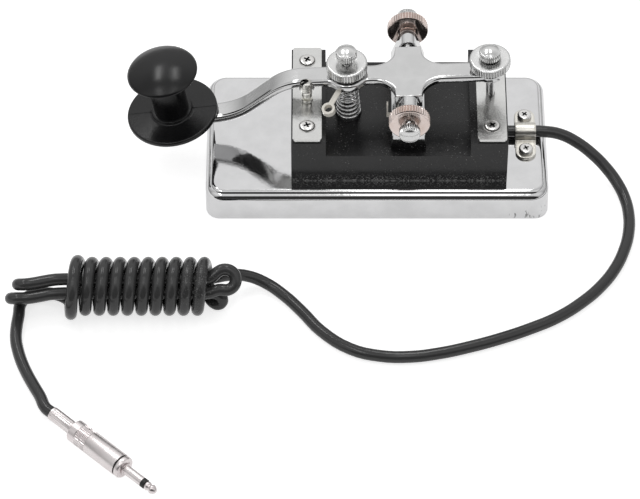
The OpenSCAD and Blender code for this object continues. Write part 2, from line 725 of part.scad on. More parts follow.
// From each nut's face to its screw's head
tension_nut_gap = 2.4;
gap_nut_gap = 0.4;
pivot_nut_gap = 1.9;
tension_head_z = lever_top + nut_hub_h + nut_t + tension_nut_gap;
gap_head_z = lever_top + nut_hub_h + nut_t + gap_nut_gap;
pivot_head_y = upright_out + nut_hub_h + nut_t + pivot_nut_gap;

guide_r = 1.2;
guide_l = 6;
module tension_screw() {
    low = lever_under - cup_drop;
    color(chrome) on_lever() translate([-tension_x, 0, 0]) {
        translate([0, 0, tension_head_z]) thumb_screw(tension_head_z - low);
        translate([0, 0, low - guide_l]) cylinder(r = guide_r, h = guide_l + past);
    }
}
module spring_cup() {
    color(chrome) on_lever() translate([-tension_x, 0, cup_under]) difference() {
        union() {
            cylinder(r = spring_r2 + wire_d, h = cup_t);
            translate([0, 0, -cup_lip]) cylinder(r = spring_r2 - wire_d / 2 - cup_room, h = cup_lip + cup_t);
        }
        translate([0, 0, -cup_lip - past]) cylinder(r = guide_r + fit, h = cup_lip + cup_t + 2 * past);
    }
}
module tension_nut() { color(brass) on_lever() translate([-tension_x, 0, lever_top]) knurled_nut(); }

stop_gap = 0.1; // between the gap screw's tip and the rear strap
gap_tip = (strap_top + stop_gap - pivot_z - gap_x * sin(rest_tilt)) / cos(rest_tilt);
module gap_screw() {
    color(chrome) on_lever() translate([gap_x, 0, gap_head_z]) thumb_screw(gap_head_z - gap_tip);
}
module gap_nut() { color(brass) on_lever() translate([gap_x, 0, lever_top]) knurled_nut(); }

// Pivot screws lie along Y: side is -1 in front and 1 behind. Their cone points run in the lever's cups.
point_gap = 0.06;
module pivot_screw(side) {
    tip_y = cross_half_l - cup_depth + point_gap;
    color(chrome) translate([pivot_x, side * pivot_head_y, pivot_z]) rotate([-side * 90, 0, 0]) {
        thumb_screw(pivot_head_y - tip_y - cup_depth);
        translate([0, 0, tip_y - pivot_head_y]) cylinder(r1 = point_r, r2 = thread_r, h = cup_depth);
    }
}
module pivot_nut(side) {
    color(brass) translate([pivot_x, side * upright_out, pivot_z]) rotate([-side * 90, 0, 0]) knurled_nut();
}
module front_pivot_screw() { pivot_screw(-1); }
module rear_pivot_screw() { pivot_screw(1); }
module front_pivot_nut() { pivot_nut(-1); }
module rear_pivot_nut() { pivot_nut(1); }

// The plug lies on the table, its axis one shell radius up.
plug_angle = -43.1;
plug_dir = [cos(plug_angle), sin(plug_angle), 0];
plug_end = [-115, -125.7, plug_r];
plug_lead_in = 3.5; // the lead's last straight stretch

// The lead: out of the block, through the clamp, over the base's edge and along the table.
join_x = -66; // where the run meets the hank, under its first turns
hank_x = -63.2; // top of the hank's first turn
hank_y = -72.6;
hank_z = wrap_r + cord_d / 2;
view_tilt = 50; // the runs inside the hank lie in pairs at this slope
pair_v = [0, cos(view_tilt), -sin(view_tilt)];
pair_u = [0, sin(view_tilt), cos(view_tilt)];
run_back = run_off * (pair_u + pair_v);
run_top = run_off * (pair_u - pair_v);
run_front = run_off * (-pair_u - pair_v);
run_low = run_off * (-pair_u + pair_v);
// The folds at the hank's two ends hang forward on the left and stand up on the right.
left_droop = [0, -2.6, 0.2];
right_rise = 2.3 * pair_u;
left_bend_x = -114;
left_bend_l = 14;
right_bend_x = -61.6;
right_bend_l = 5.5;
function smooth(s) = s * s * (3 - 2 * s);
function sway(x) = left_droop * smooth(max(0, min(1, (left_bend_x - x) / left_bend_l)))
    + right_rise * smooth(max(0, min(1, (x - right_bend_x) / right_bend_l)));
function run_at(x, off) = [x, hank_y, hank_z] + off + sway(x);

run_route = concat([
    [block_x1 - mouth_l, clamp_y, cord_z], [block_x1, clamp_y, cord_z], [clamp_x, clamp_y, cord_z],
    [62, -1.2, 15.3], [68, -2, 14.7], [74, -4.4, 13], [80, -8, 10.2], [85, -12, 7], [89, -17, 4.2],
    [91.5, -23, 2.6], [92.6, -31, 2.2], [92, -40, 2.2], [90, -48, 2.2], [86.5, -56.5, 2.2], [81, -65, 2.2],
    [73.5, -73, 2.2], [64.5, -80, 2.2], [54.5, -85.3, 2.2], [43.5, -90, 2.2], [32.5, -93.8, 2.2],
    [21.5, -96.8, 2.2], [11, -98.4, 2.2], [0.5, -98, 2.2], [-10, -94.8, 2.2], [-20.5, -86.5, 2.2],
    [-27.5, -77.3, 2.2], [-34, -69.8, 2.4], [-41, -64.7, 3.6], [-47.5, -63.6, 6], [-53.5, -65.6, 8.8]],
    [for (x = [6, 3, 0]) run_at(join_x + x, run_back)]);

function hermite(p0, m0, p1, m1, s) =
    (2 * s * s * s - 3 * s * s + 1) * p0 + (s * s * s - 2 * s * s + s) * m0
    + (3 * s * s - 2 * s * s * s) * p1 + (s * s * s - s * s) * m1;
function leg(x0, x1, off, n) = [for (i = [0:n]) run_at(x0 + (x1 - x0) * i / n, off)];
// A fold from one run to the next: the pair opens to radius r, turns round at x, and comes back.
fold_steps = 10;
function fold(x, side, off0, off1, r, neck) =
    let (mid = (off0 + off1) / 2, h = (off0 - off1) / 2, e = unit(h), x0 = x - side * (neck + r))
    concat(
        [for (i = [1:4]) run_at(x0 + side * neck * i / 5, mid + h + e * (r - norm(h)) * smooth(i / 5))],
        [for (i = [0:fold_steps], a = [180 * i / fold_steps])
            run_at(x - side * r + side * r * sin(a), mid + e * r * cos(a))],
        [for (i = [4:-1:1]) run_at(x0 + side * neck * i / 5, mid - h - e * (r - norm(h)) * smooth(i / 5))]);
upper_x = -129.4;
lower_x = -131.9;
right_x = -51.2;
fold_r = 3.1;
loop_r = 3.7;
left_neck = 11;
right_neck = 6.6;
upper_in = upper_x + fold_r + left_neck;
lower_in = lower_x + fold_r + left_neck;
right_in = right_x - loop_r - right_neck;

wrap_steps = 24;
wrap_start = 195;
wrap_end = 360 * wrap_turns + 180;
wrap_grow = 1.3; // the last turn is this much larger
function wrap_point(a) =
    let (r = wrap_r + wrap_grow * smooth(max(0, min(1, a / 360 - wrap_turns + 0.7))))
    [hank_x - wrap_pitch * (a - 360) / 360, hank_y + wrap_r - r - r * sin(a), r + cord_d / 2 + r * cos(a)];
function wrap_heading(a) = unit(wrap_point(a + 1) - wrap_point(a - 1));
wrap_count = round((wrap_end - wrap_start) / 360 * wrap_steps);
wraps = [for (i = [0:wrap_count]) wrap_point(wrap_start + (wrap_end - wrap_start) * i / wrap_count)];
low_end_x = -62.5;
// The last run turns down under itself to the first turn.
lead_out = [[-59.5, -72.9, 7.2], [-57.4, -73.2, 6.6], [-56.3, -73.6, 5.2], [-56.4, -74, 3.6],
    [-57.7, -74.1, 2.5], [-59.3, -73.1, 2.2], [-60.5, -71.6, 2.3]];
tail_start = [-121, -68.6, 2.2];
lead_off = [for (i = [1:7])
    hermite(wraps[wrap_count], 10 * wrap_heading(wrap_end), tail_start + [1, 0, 0], [-10, 0, 0], i / 8)];

hank_path = concat(
    leg(join_x, upper_in, run_back, 6), fold(upper_x, -1, run_back, run_top, fold_r, left_neck),
    leg(upper_in, right_in, run_top, 5), fold(right_x, 1, run_top, run_front, loop_r, right_neck),
    leg(right_in, lower_in, run_front, 5), fold(lower_x, -1, run_front, run_low, fold_r, left_neck),
    leg(lower_in, low_end_x, run_low, 5), lead_out, wraps, lead_off,
    [tail_start + [1, 0, 0], tail_start]);

tail_route = concat([tail_start, tail_start - [1, 0, 0]], [
    [-126, -69.9, 2.2], [-128.9, -73.5, 2.2], [-129.4, -79, 2.2], [-129.9, -85, 2.2], [-129.8, -90.5, 2.2],
    [-128.7, -96, 2.2], [-127, -101.5, 2.3], [-124.8, -107, 2.6], [-122.3, -112.5, 3.2], [-119.7, -118, 3.8]],
    [plug_end - plug_lead_in * plug_dir, plug_end]);

function path_length(p) = [for (i = 0, s = 0; i < len(p);
    i = i + 1, s = s + (i < len(p) ? norm(p[i] - p[i - 1]) : 0)) s][len(p) - 1];

module cord_run() {
    echo(run_length = path_length(run_route));
    color(plastic) tube(run_route, cord_d / 2, 8);
}
module cord_hank() {
    echo(hank_length = path_length(hank_path), hank_least_gap = least_gap(hank_path, 7) - cord_d,
        hank_lowest = min([for (p = hank_path) p.z]) - cord_d / 2, hank_rings = len(hank_path));
    color(plastic) tube(hank_path, cord_d / 2, 6);
}
module cord_tail() {
    echo(tail_length = path_length(tail_route));
    color(plastic) tube(tail_route, cord_d / 2, 8);
}

module on_plug() { translate(plug_end) rotate([0, 0, plug_angle]) rotate([0, 90, 0]) children(); }
collar_z = plug_tail_l + plug_l;
plug_shoulder = [1, 0.5]; // length and depth of the slope from the tail sleeve up to the shell
plug_neck_l = 2.4; // from that slope to the ridges
plug_grip_l = 5; // length of the ridges
plug_ridges = 32;
plug_groove = [0.6, 0.5]; // width and depth of the groove for the dark seal
plug_nose_l = 1.2; // straight and sloped parts in front of the groove
plug_nose_slope = 0.6;
jack_tip_l = 4.9;
jack_ring_l = 1.4;
jack_sleeve_l = jack_l - jack_tip_l - jack_ring_l;
module plug_stage(z, r1, r2, h) { translate([0, 0, z]) cylinder(r1 = r1, r2 = r2, h = h); }
module plug_shell() {
    neck_z = plug_tail_l + plug_shoulder[0];
    grip_z = neck_z + plug_neck_l;
    body_z = grip_z + plug_grip_l;
    nose_r = plug_r - 2 * fit;
    slope_z = collar_z - plug_nose_slope;
    nose_z = slope_z - plug_nose_l;
    groove_z = nose_z - plug_groove[0];
    color("gainsboro") on_plug() {
        plug_stage(0, plug_tail_r, plug_tail_r, plug_tail_l);
        plug_stage(plug_tail_l, plug_r - plug_shoulder[1], plug_r, plug_shoulder[0]);
        plug_stage(neck_z, plug_r, plug_r, plug_neck_l);
        translate([0, 0, grip_z]) ridged(plug_r - fit, plug_grip_l, plug_ridges);
        plug_stage(body_z, plug_r, plug_r, groove_z - body_z);
        plug_stage(groove_z, plug_r - plug_groove[1], plug_r - plug_groove[1], plug_groove[0]);
        plug_stage(nose_z, nose_r, nose_r, plug_nose_l);
        plug_stage(slope_z, nose_r, nose_r - plug_nose_slope, plug_nose_slope);
    }
}
module plug_sleeve() {
    color("gainsboro") on_plug() plug_stage(collar_z, jack_r, jack_r, jack_sleeve_l);
}
module plug_ring() {
    color(plastic) on_plug() plug_stage(collar_z + jack_sleeve_l, jack_r, jack_r, jack_ring_l);
}
// The tip's outline, as shares of the pin's radius and the tip's length.
tip_outline = [[0, 0], [0.69, 0], [0.94, 0.245], [0.71, 0.43], [0.97, 0.59], [0.86, 0.715], [0.46, 1],
    [0, 1]];
module plug_tip() {
    color("gainsboro") on_plug() translate([0, 0, collar_z + jack_sleeve_l + jack_ring_l])
        rotate_extrude() polygon([for (p = tip_outline) [p[0] * jack_r, p[1] * jack_tip_l]]);
}

base_plate();
insulator_block();
block_screws();
front_contact_strap();
rear_stop_strap();
strap_screws();
contact_anvil();
pivot_bracket();
bracket_screws();
pivot_solder_tag();
signal_wire();
pivot_wire();
cable_clamp();
clamp_screws();
tension_spring();
lever();
contact_pin();
lever_solder_tag();
knob_skirt();
finger_knob();
knob_screw();
tension_screw();
spring_cup();
tension_nut();
gap_screw();
gap_nut();
front_pivot_screw();
front_pivot_nut();
rear_pivot_screw();
rear_pivot_nut();
cord_run();
cord_hank();
cord_tail();
plug_shell();
plug_sleeve();
plug_ring();
plug_tip();
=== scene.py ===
"""A straight telegraph key and its lead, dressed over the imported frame.

Everything lies in the frame of the CAD: X runs along the lever towards the lead, Y to the back, Z up, the
origin under the middle of the base. Lengths are in millimetres, as in the part's source, and MM takes them to
Blender's metres. What is round the object, the camera, the lamps and the floor, is in metres.
"""
import json
import math

import bmesh
import bpy
from mathutils import Matrix, Vector


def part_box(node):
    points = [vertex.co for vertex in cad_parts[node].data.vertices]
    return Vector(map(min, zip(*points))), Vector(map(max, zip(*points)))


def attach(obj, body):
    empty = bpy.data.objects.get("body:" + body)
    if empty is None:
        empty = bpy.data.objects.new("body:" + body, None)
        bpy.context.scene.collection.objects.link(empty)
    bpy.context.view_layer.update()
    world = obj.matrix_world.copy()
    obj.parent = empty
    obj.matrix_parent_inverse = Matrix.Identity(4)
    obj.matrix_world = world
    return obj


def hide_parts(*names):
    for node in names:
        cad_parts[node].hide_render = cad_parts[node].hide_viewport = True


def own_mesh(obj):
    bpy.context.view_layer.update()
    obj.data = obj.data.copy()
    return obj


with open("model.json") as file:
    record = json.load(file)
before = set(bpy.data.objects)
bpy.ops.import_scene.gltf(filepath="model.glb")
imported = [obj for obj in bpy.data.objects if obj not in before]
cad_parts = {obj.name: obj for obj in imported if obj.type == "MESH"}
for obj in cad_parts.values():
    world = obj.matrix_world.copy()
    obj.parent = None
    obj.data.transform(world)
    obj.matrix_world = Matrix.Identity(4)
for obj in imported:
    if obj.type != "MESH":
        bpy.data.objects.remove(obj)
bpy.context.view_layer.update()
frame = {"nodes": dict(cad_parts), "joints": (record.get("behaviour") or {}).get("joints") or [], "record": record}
nodes = frame["nodes"]
joints = {joint["name"]: joint for joint in frame["joints"]}
bodies = frame["record"]["behaviour"]["bodies"]
body_of_node = {name: body for body, names in bodies.items() for name in names}

MM = 0.001
CORD_D = 4.4

# Camera: the photograph's view, from the front and 49 degrees up
CAMERA_ELEVATION, CAMERA_DISTANCE, CAMERA_LENS = 49.0, 1.43, 219.9
CAMERA_TARGET = Vector((-21.0, -45.8, 0.0)) * MM

# Plug, where the source lays it
PLUG_ANGLE = math.radians(-43.1)
PLUG_DIRECTION = Vector((math.cos(PLUG_ANGLE), math.sin(PLUG_ANGLE), 0))
PLUG_END = Vector((-115, -125.7, 4.2))


# Objects and nodes

def add_object(name, data):
    obj = bpy.data.objects.new(name, data)
    bpy.context.scene.collection.objects.link(obj)
    return obj


def modify(obj, kind, **settings):
    made = obj.modifiers.new(kind.lower(), kind)
    for key, value in settings.items():
        setattr(made, key, value)


def add_node(tree, kind, inputs=(), **settings):
    """A shader node with its inputs, by name or number, linked to an output or set to a value."""
    made = tree.nodes.new("ShaderNode" + kind)
    for key, value in settings.items():
        setattr(made, key, value)
    for key, value in dict(inputs).items():
        socket = made.inputs[key]
        if hasattr(value, "is_output"):
            tree.links.new(value, socket)
        else:
            socket.default_value = (*value, 1) if socket.type == "RGBA" else value
    return made


def math_node(tree, operation, *values):
    return add_node(tree, "Math", enumerate(values), operation=operation).outputs[0]


def times(tree, a, b):
    return math_node(tree, "MULTIPLY", a, b)


def greater(tree, a, b):
    return math_node(tree, "MAXIMUM", a, b)


def mix_colour(tree, factor, a, b):
    return add_node(tree, "Mix", {0: factor, 6: a, 7: b}, data_type="RGBA").outputs[2]


def remap(tree, value, low, high, to_low=0.0, to_high=1.0):
    return add_node(tree, "MapRange", {"Value": value, "From Min": low, "From Max": high,
                                       "To Min": to_low, "To Max": to_high}).outputs[0]


def ramp(tree, value, stops):
    """A ramp of greys through (place, level) stops."""
    made = add_node(tree, "ValToRGB", {0: value})
    elements = made.color_ramp.elements
    while len(elements) < len(stops):
        elements.new(0.5)
    for element, (place, level) in zip(elements, stops):
        element.position = place
        element.color = (level, level, level, 1)
    return made.outputs[0]


def ray_kinds(tree):
    """Whether a ray comes from the camera or through glass, and whether it comes from a mirror."""
    path = add_node(tree, "LightPath").outputs
    return greater(tree, path["Is Camera Ray"], path["Is Transmission Ray"]), path["Is Glossy Ray"]


def split(tree, socket):
    return add_node(tree, "SeparateXYZ", {0: socket}).outputs


# Camera, room and floor

def make_camera():
    data = bpy.data.cameras.new("camera")
    data.sensor_width = 36
    data.lens = CAMERA_LENS
    data.clip_start = 0.05
    data.clip_end = 20
    camera = add_object("camera", data)
    tilt = math.radians(CAMERA_ELEVATION)
    camera.location = CAMERA_TARGET + CAMERA_DISTANCE * Vector((0, -math.cos(tilt), math.sin(tilt)))
    camera.rotation_euler = (math.pi / 2 - tilt, 0, 0)
    bpy.context.scene.camera = camera


# The room that metal shows, by how far back a direction points: a dark corner low in front, a bright
# strip over the camera, a greyer ceiling and a white wall behind. Low directions are darker all round.
ROOM_STOPS = [(0.0, 0.10), (0.04, 0.07), (0.08, 0.03), (0.14, 0.03), (0.17, 0.42), (0.22, 0.92),
              (0.40, 0.92), (0.50, 0.62), (0.60, 0.72), (0.80, 0.97), (1.0, 1.0)]
LOW_Z, HIGH_Z, LOW_LEVEL = 0.12, 0.62, 0.50
WORLD_LEVEL = 0.42
WHITE = (1, 1, 1)


def make_world():
    world = bpy.data.worlds.new("room")
    bpy.context.scene.world = world
    world.use_nodes = True
    tree = world.node_tree
    tree.nodes.clear()
    _, y, z = split(tree, add_node(tree, "TexCoord").outputs["Generated"])
    room = times(tree, ramp(tree, math_node(tree, "MULTIPLY_ADD", y, 0.5, 0.5), ROOM_STOPS),
                 remap(tree, z, LOW_Z, HIGH_Z, LOW_LEVEL, 1.0))
    seen, mirrored = ray_kinds(tree)
    soft, shown, white = (add_node(tree, "Background", {0: WHITE, 1: level}).outputs[0]
                          for level in (WORLD_LEVEL, room, 1.0))
    lit = add_node(tree, "MixShader", {0: mirrored, 1: soft, 2: shown}).outputs[0]
    add_node(tree, "OutputWorld", {0: add_node(tree, "MixShader", {0: seen, 1: lit, 2: white}).outputs[0]})


# Four long softboxes hang over the table, in two rows with a gap between front and back.
# Each is (middle x, low y, high y, width, radiance) at LAMP_HEIGHT.
LAMP_HEIGHT = 1.5
LAMPS = {
    "lamp_left_back": (-0.62, 0.30, 1.26, 0.24, 5.5),
    "lamp_right_back": (0.075, 0.26, 1.00, 0.20, 5.5),
    "lamp_left_front": (-0.60, -0.95, -0.12, 0.22, 3.2),
    "lamp_right_front": (0.09, -0.95, -0.12, 0.20, 1.5),
}


def make_lamps():
    for name, (x, y0, y1, width, radiance) in LAMPS.items():
        data = bpy.data.lights.new(name, "AREA")
        data.shape = "RECTANGLE"
        data.size = width
        data.size_y = y1 - y0
        data.energy = radiance * math.pi * width * (y1 - y0)
        add_object(name, data).location = (x, (y0 + y1) / 2, LAMP_HEIGHT)


# The floor, and what it adds of its own where the camera sees it and where metal mirrors it
FLOOR_HALF, FLOOR_DROP, FLOOR_GREY = 4.0, 0.05 * MM, (0.8, 0.8, 0.8)
FLOOR_GLOW, FLOOR_GLOW_MIRRORED = 0.72, 0.50


def make_floor():
    half = FLOOR_HALF
    mesh = bpy.data.meshes.new("floor")
    mesh.from_pydata([(-half, -half, 0), (half, -half, 0), (half, half, 0), (-half, half, 0)], [],
                     [(0, 1, 2, 3)])
    floor = add_object("floor", mesh)
    floor.location = (0, 0, -FLOOR_DROP)
    material = bpy.data.materials.new("floor_white")
    material.use_nodes = True
    tree = material.node_tree
    tree.nodes.clear()
    seen, mirrored = ray_kinds(tree)
    glow = math_node(tree, "ADD", times(tree, seen, FLOOR_GLOW), times(tree, mirrored, FLOOR_GLOW_MIRRORED))
    plain = add_node(tree, "BsdfDiffuse", {0: FLOOR_GREY}).outputs[0]
    bright = add_node(tree, "Emission", {1: glow}).outputs[0]
    add_node(tree, "OutputMaterial", {0: add_node(tree, "AddShader", {0: plain, 1: bright}).outputs[0]})
    mesh.materials.append(material)


# The lead: repeats the source's route. It runs from the block round to the hank, lies there in four lengths
# that fold at the hank's ends, winds round them and leaves to the left for the plug.

CORD_Z = 15.3
JOIN_X = -66.0
HANK_X, HANK_Y = -63.2, -72.6
WRAP_R, WRAP_PITCH, WRAP_TURNS, WRAP_GROW, WRAP_WIDEN = 8.5, 5.04, 10, 1.3, 0.7
WRAP_START, WRAP_END, WRAP_STEPS = 195.0, 3780.0, 24
HANK_Z = WRAP_R + CORD_D / 2
RUN_OFF = 2.5
VIEW_TILT = math.radians(50)
PAIR_V = Vector((0, math.cos(VIEW_TILT), -math.sin(VIEW_TILT)))
PAIR_U = Vector((0, math.sin(VIEW_TILT), math.cos(VIEW_TILT)))
RUN_BACK, RUN_TOP = RUN_OFF * (PAIR_U + PAIR_V), RUN_OFF * (PAIR_U - PAIR_V)
RUN_FRONT, RUN_LOW = RUN_OFF * (-PAIR_U - PAIR_V), RUN_OFF * (-PAIR_U + PAIR_V)
LEFT_DROOP = Vector((0, -2.6, 0.2))
RIGHT_RISE = 2.3 * PAIR_U
LEFT_BEND_X, LEFT_BEND_L = -114.0, 14.0
RIGHT_BEND_X, RIGHT_BEND_L = -61.6, 5.5
UPPER_X, LOWER_X, RIGHT_X = -129.4, -131.9, -51.2
FOLD_R, LOOP_R, LEFT_NECK, RIGHT_NECK = 3.1, 3.7, 11.0, 6.6
UPPER_IN, LOWER_IN = UPPER_X + FOLD_R + LEFT_NECK, LOWER_X + FOLD_R + LEFT_NECK
RIGHT_IN = RIGHT_X - LOOP_R - RIGHT_NECK
LOW_END_X = -62.5
FOLD_STEPS, NECK_STEPS = 10, 5
LEAVE_PULL, PLUG_REACH = 10, 3.5
RUN_ROUTE = [
    (38.5, -1.1, 15.3), (47.5, -1.1, 15.3), (55, -1.1, 15.3), (62, -1.2, 15.3), (68, -2, 14.7), (74, -4.4, 13),
    (80, -8, 10.2), (85, -12, 7), (89, -17, 4.2), (91.5, -23, 2.6), (92.6, -31, 2.2), (92, -40, 2.2),
    (90, -48, 2.2), (86.5, -56.5, 2.2), (81, -65, 2.2), (73.5, -73, 2.2), (64.5, -80, 2.2), (54.5, -85.3, 2.2),
    (43.5, -90, 2.2), (32.5, -93.8, 2.2), (21.5, -96.8, 2.2), (11, -98.4, 2.2), (0.5, -98, 2.2),
    (-10, -94.8, 2.2), (-20.5, -86.5, 2.2), (-27.5, -77.3, 2.2), (-34, -69.8, 2.4), (-41, -64.7, 3.6),
    (-47.5, -63.6, 6), (-53.5, -65.6, 8.8)]
# From the hank's lowest length to the first turn round it
LEAD_OUT = [
    (-59.5, -72.9, 7.2), (-57.4, -73.2, 6.6), (-56.3, -73.6, 5.2), (-56.4, -74, 3.6), (-57.7, -74.1, 2.5),
    (-59.3, -73.1, 2.2), (-60.5, -71.6, 2.3)]
TAIL_START = Vector((-121, -68.6, 2.2))
TAIL_ROUTE = [
    (-126, -69.9, 2.2), (-128.9, -73.5, 2.2), (-129.4, -79, 2.2), (-129.9, -85, 2.2), (-129.8, -90.5, 2.2),
    (-128.7, -96, 2.2), (-127, -101.5, 2.3), (-124.8, -107, 2.6), (-122.3, -112.5, 3.2), (-119.7, -118, 3.8)]


def smooth(s):
    s = max(0.0, min(1.0, s))
    return s * s * (3 - 2 * s)


def run_at(x, off):
    """A point of a length in the hank; the lengths droop at the left end and rise at the right."""
    sway = (LEFT_DROOP * smooth((LEFT_BEND_X - x) / LEFT_BEND_L)
            + RIGHT_RISE * smooth((x - RIGHT_BEND_X) / RIGHT_BEND_L))
    return Vector((x, HANK_Y, HANK_Z)) + off + sway


def leg(x0, x1, off, count):
    return [run_at(x0 + (x1 - x0) * i / count, off) for i in range(count + 1)]


def fold(x, side, off0, off1, r, neck):
    """From one length to the next: the pair opens to radius r, turns round at x and comes back."""
    mid, half = (off0 + off1) / 2, (off0 - off1) / 2
    e = half.normalized()
    x0 = x - side * (neck + r)
    opening = [(x0 + side * neck * i / NECK_STEPS, half + e * (r - half.length) * smooth(i / NECK_STEPS))
               for i in range(1, NECK_STEPS)]
    turn = [math.pi * i / FOLD_STEPS for i in range(FOLD_STEPS + 1)]
    return ([run_at(px, mid + spread) for px, spread in opening]
            + [run_at(x - side * r + side * r * math.sin(a), mid + e * r * math.cos(a)) for a in turn]
            + [run_at(px, mid - spread) for px, spread in reversed(opening)])


def wrap_point(a):
    """A point of the turns round the hank, by its angle in degrees; the last turn widens."""
    r = WRAP_R + WRAP_GROW * smooth(a / 360 - WRAP_TURNS + WRAP_WIDEN)
    t = math.radians(a)
    return Vector((HANK_X - WRAP_PITCH * (a - 360) / 360, HANK_Y + WRAP_R - r - r * math.sin(t),
                   r + CORD_D / 2 + r * math.cos(t)))


def hermite(p0, m0, p1, m1, s):
    return ((2 * s ** 3 - 3 * s * s + 1) * p0 + (s ** 3 - 2 * s * s + s) * m0
            + (3 * s * s - 2 * s ** 3) * p1 + (s ** 3 - s * s) * m1)


def cord_points():
    run = [Vector(p) for p in RUN_ROUTE] + [run_at(JOIN_X + x, RUN_BACK) for x in (6, 3)]
    count = round((WRAP_END - WRAP_START) / 360 * WRAP_STEPS)
    wraps = [wrap_point(WRAP_START + (WRAP_END - WRAP_START) * i / count) for i in range(count + 1)]
    heading = (wrap_point(WRAP_END + 1) - wrap_point(WRAP_END - 1)).normalized()
    lead_off = [hermite(wraps[-1], LEAVE_PULL * heading, TAIL_START + Vector((1, 0, 0)),
                        Vector((-LEAVE_PULL, 0, 0)), i / 8) for i in range(1, 8)]
    hank = (leg(JOIN_X, UPPER_IN, RUN_BACK, 6) + fold(UPPER_X, -1, RUN_BACK, RUN_TOP, FOLD_R, LEFT_NECK)
            + leg(UPPER_IN, RIGHT_IN, RUN_TOP, 5) + fold(RIGHT_X, 1, RUN_TOP, RUN_FRONT, LOOP_R, RIGHT_NECK)
            + leg(RIGHT_IN, LOWER_IN, RUN_FRONT, 5) + fold(LOWER_X, -1, RUN_FRONT, RUN_LOW, FOLD_R, LEFT_NECK)
            + leg(LOWER_IN, LOW_END_X, RUN_LOW, 5) + [Vector(p) for p in LEAD_OUT] + wraps + lead_off)
    tail = [TAIL_START] + [Vector(p) for p in TAIL_ROUTE]
    plug = [PLUG_END - PLUG_REACH * PLUG_DIRECTION, PLUG_END]
    return [p * MM for p in run + hank + tail + plug]


def round_curve(name, diameter, resolution):
    """An empty curve that draws as a closed round tube."""
    curve = bpy.data.curves.new(name, "CURVE")
    curve.dimensions = "3D"
    curve.bevel_depth = diameter / 2 * MM
    curve.bevel_resolution = resolution
    curve.use_fill_caps = True
    return curve


def make_cord():
    points = cord_points()
    curve = round_curve("lead", CORD_D, 6)
    curve.resolution_u = 4
    spline = curve.splines.new("BEZIER")
    spline.bezier_points.add(len(points) - 1)
    for knot, point in zip(spline.bezier_points, points):
        knot.co = point
        knot.handle_left_type = knot.handle_right_type = "AUTO"
    lead = dress(add_object("lead", curve), "cord_black", "root", "cord_run", "cord_hank", "cord_tail")
    return lead, points


# Materials. A grain is how many cells of noise lie in a metre; depths of bump are in metres.

METAL_GRAIN, PLASTIC_GRAIN, PLASTIC_DEPTH = 900, 2500, 0.00002
SPECK_LIMIT, SPECK_SPREAD, SPECK_GAIN = 0.82, 0.12, 14.0


def principled(name, colour, metallic, roughness, **sockets):
    """A material with its Principled shader's plain values set on the shader itself."""
    material = bpy.data.materials.new(name)
    material.use_nodes = True
    shader = material.node_tree.nodes["Principled BSDF"]
    sockets.update({"Base Color": (*colour, 1), "Metallic": metallic, "Roughness": roughness})
    for key, value in sockets.items():
        shader.inputs[key].default_value = value
    return material, material.node_tree, shader.inputs


def place_of(tree, stretch=(1, 1, 1)):
    place = add_node(tree, "TexCoord").outputs["Object"]
    return add_node(tree, "Mapping", {0: place, "Scale": stretch}).outputs[0]


def noise(tree, per_metre, stretch=(1, 1, 1), detail=2.0):
    place = place_of(tree, stretch)
    return add_node(tree, "TexNoise", {"Scale": per_metre, "Detail": detail, "Vector": place}).outputs["Fac"]


def add_bump(tree, sockets, height, depth):
    bump = add_node(tree, "Bump", {"Strength": 1.0, "Distance": depth, "Height": height})
    tree.links.new(bump.outputs[0], sockets["Normal"])


# Metals: colour, roughness and its spread, colour of the tarnish, depth of the waves
METALS = {
    "base_chrome": ((0.68, 0.68, 0.685), 0.075, 0.03, None, 0.000009),
    "bright_chrome": ((0.62, 0.62, 0.62), 0.10, 0.04),
    "clamp_satin": ((0.72, 0.70, 0.65), 0.33),
    "strap_satin": ((0.63, 0.63, 0.62), 0.19, 0.04),
    "screw_steel": ((0.68, 0.67, 0.655), 0.20),
    "nut_nickel": ((0.68, 0.68, 0.675), 0.20),
    "nut_warm": ((0.70, 0.615, 0.585), 0.16, 0.05, (0.60, 0.50, 0.455)),
    "contact_silver": ((0.86, 0.85, 0.81), 0.30),
    "spring_steel": ((0.74, 0.74, 0.74), 0.09, 0.03),
    "plug_nickel": ((0.75, 0.71, 0.705), 0.30, 0.05, (0.71, 0.655, 0.655)),
    # Painted shade: darker colours for the faces down in the knurls' grooves, not colours of the metal.
    "groove_shade_nickel": ((0.34, 0.34, 0.335), 0.30),
    "groove_shade_warm": ((0.40, 0.31, 0.28), 0.30),
    # Painted shade: a dark colour for cross recesses, the ring round a sunk head and the pin's slot.
    "painted_recess_shade": ((0.10, 0.10, 0.10), 0.35),
}
# Plastics: colour, roughness, share of dust, colour of the dust
PLASTICS = {
    "moulded_black": ((0.010, 0.010, 0.0105), 0.22, 1.0),
    "block_black": ((0.010, 0.010, 0.0105), 0.22, 1.0),
    "knob_black": ((0.007, 0.007, 0.0075), 0.20, 0.3),
    "knob_disc": ((0.008, 0.008, 0.0085), 0.22, 0.9),
    "ring_black": ((0.02, 0.02, 0.02), 0.4),
    "cord_black": ((0.052, 0.052, 0.0525), 0.12, 0.8),
    "wire_red": ((0.35, 0.02, 0.02), 0.45),
    "wire_black": ((0.02, 0.02, 0.02), 0.45),
    "tinned_tag": ((0.95, 0.91, 0.83), 0.35, 0.0, (0.60, 0.56, 0.48)),
}


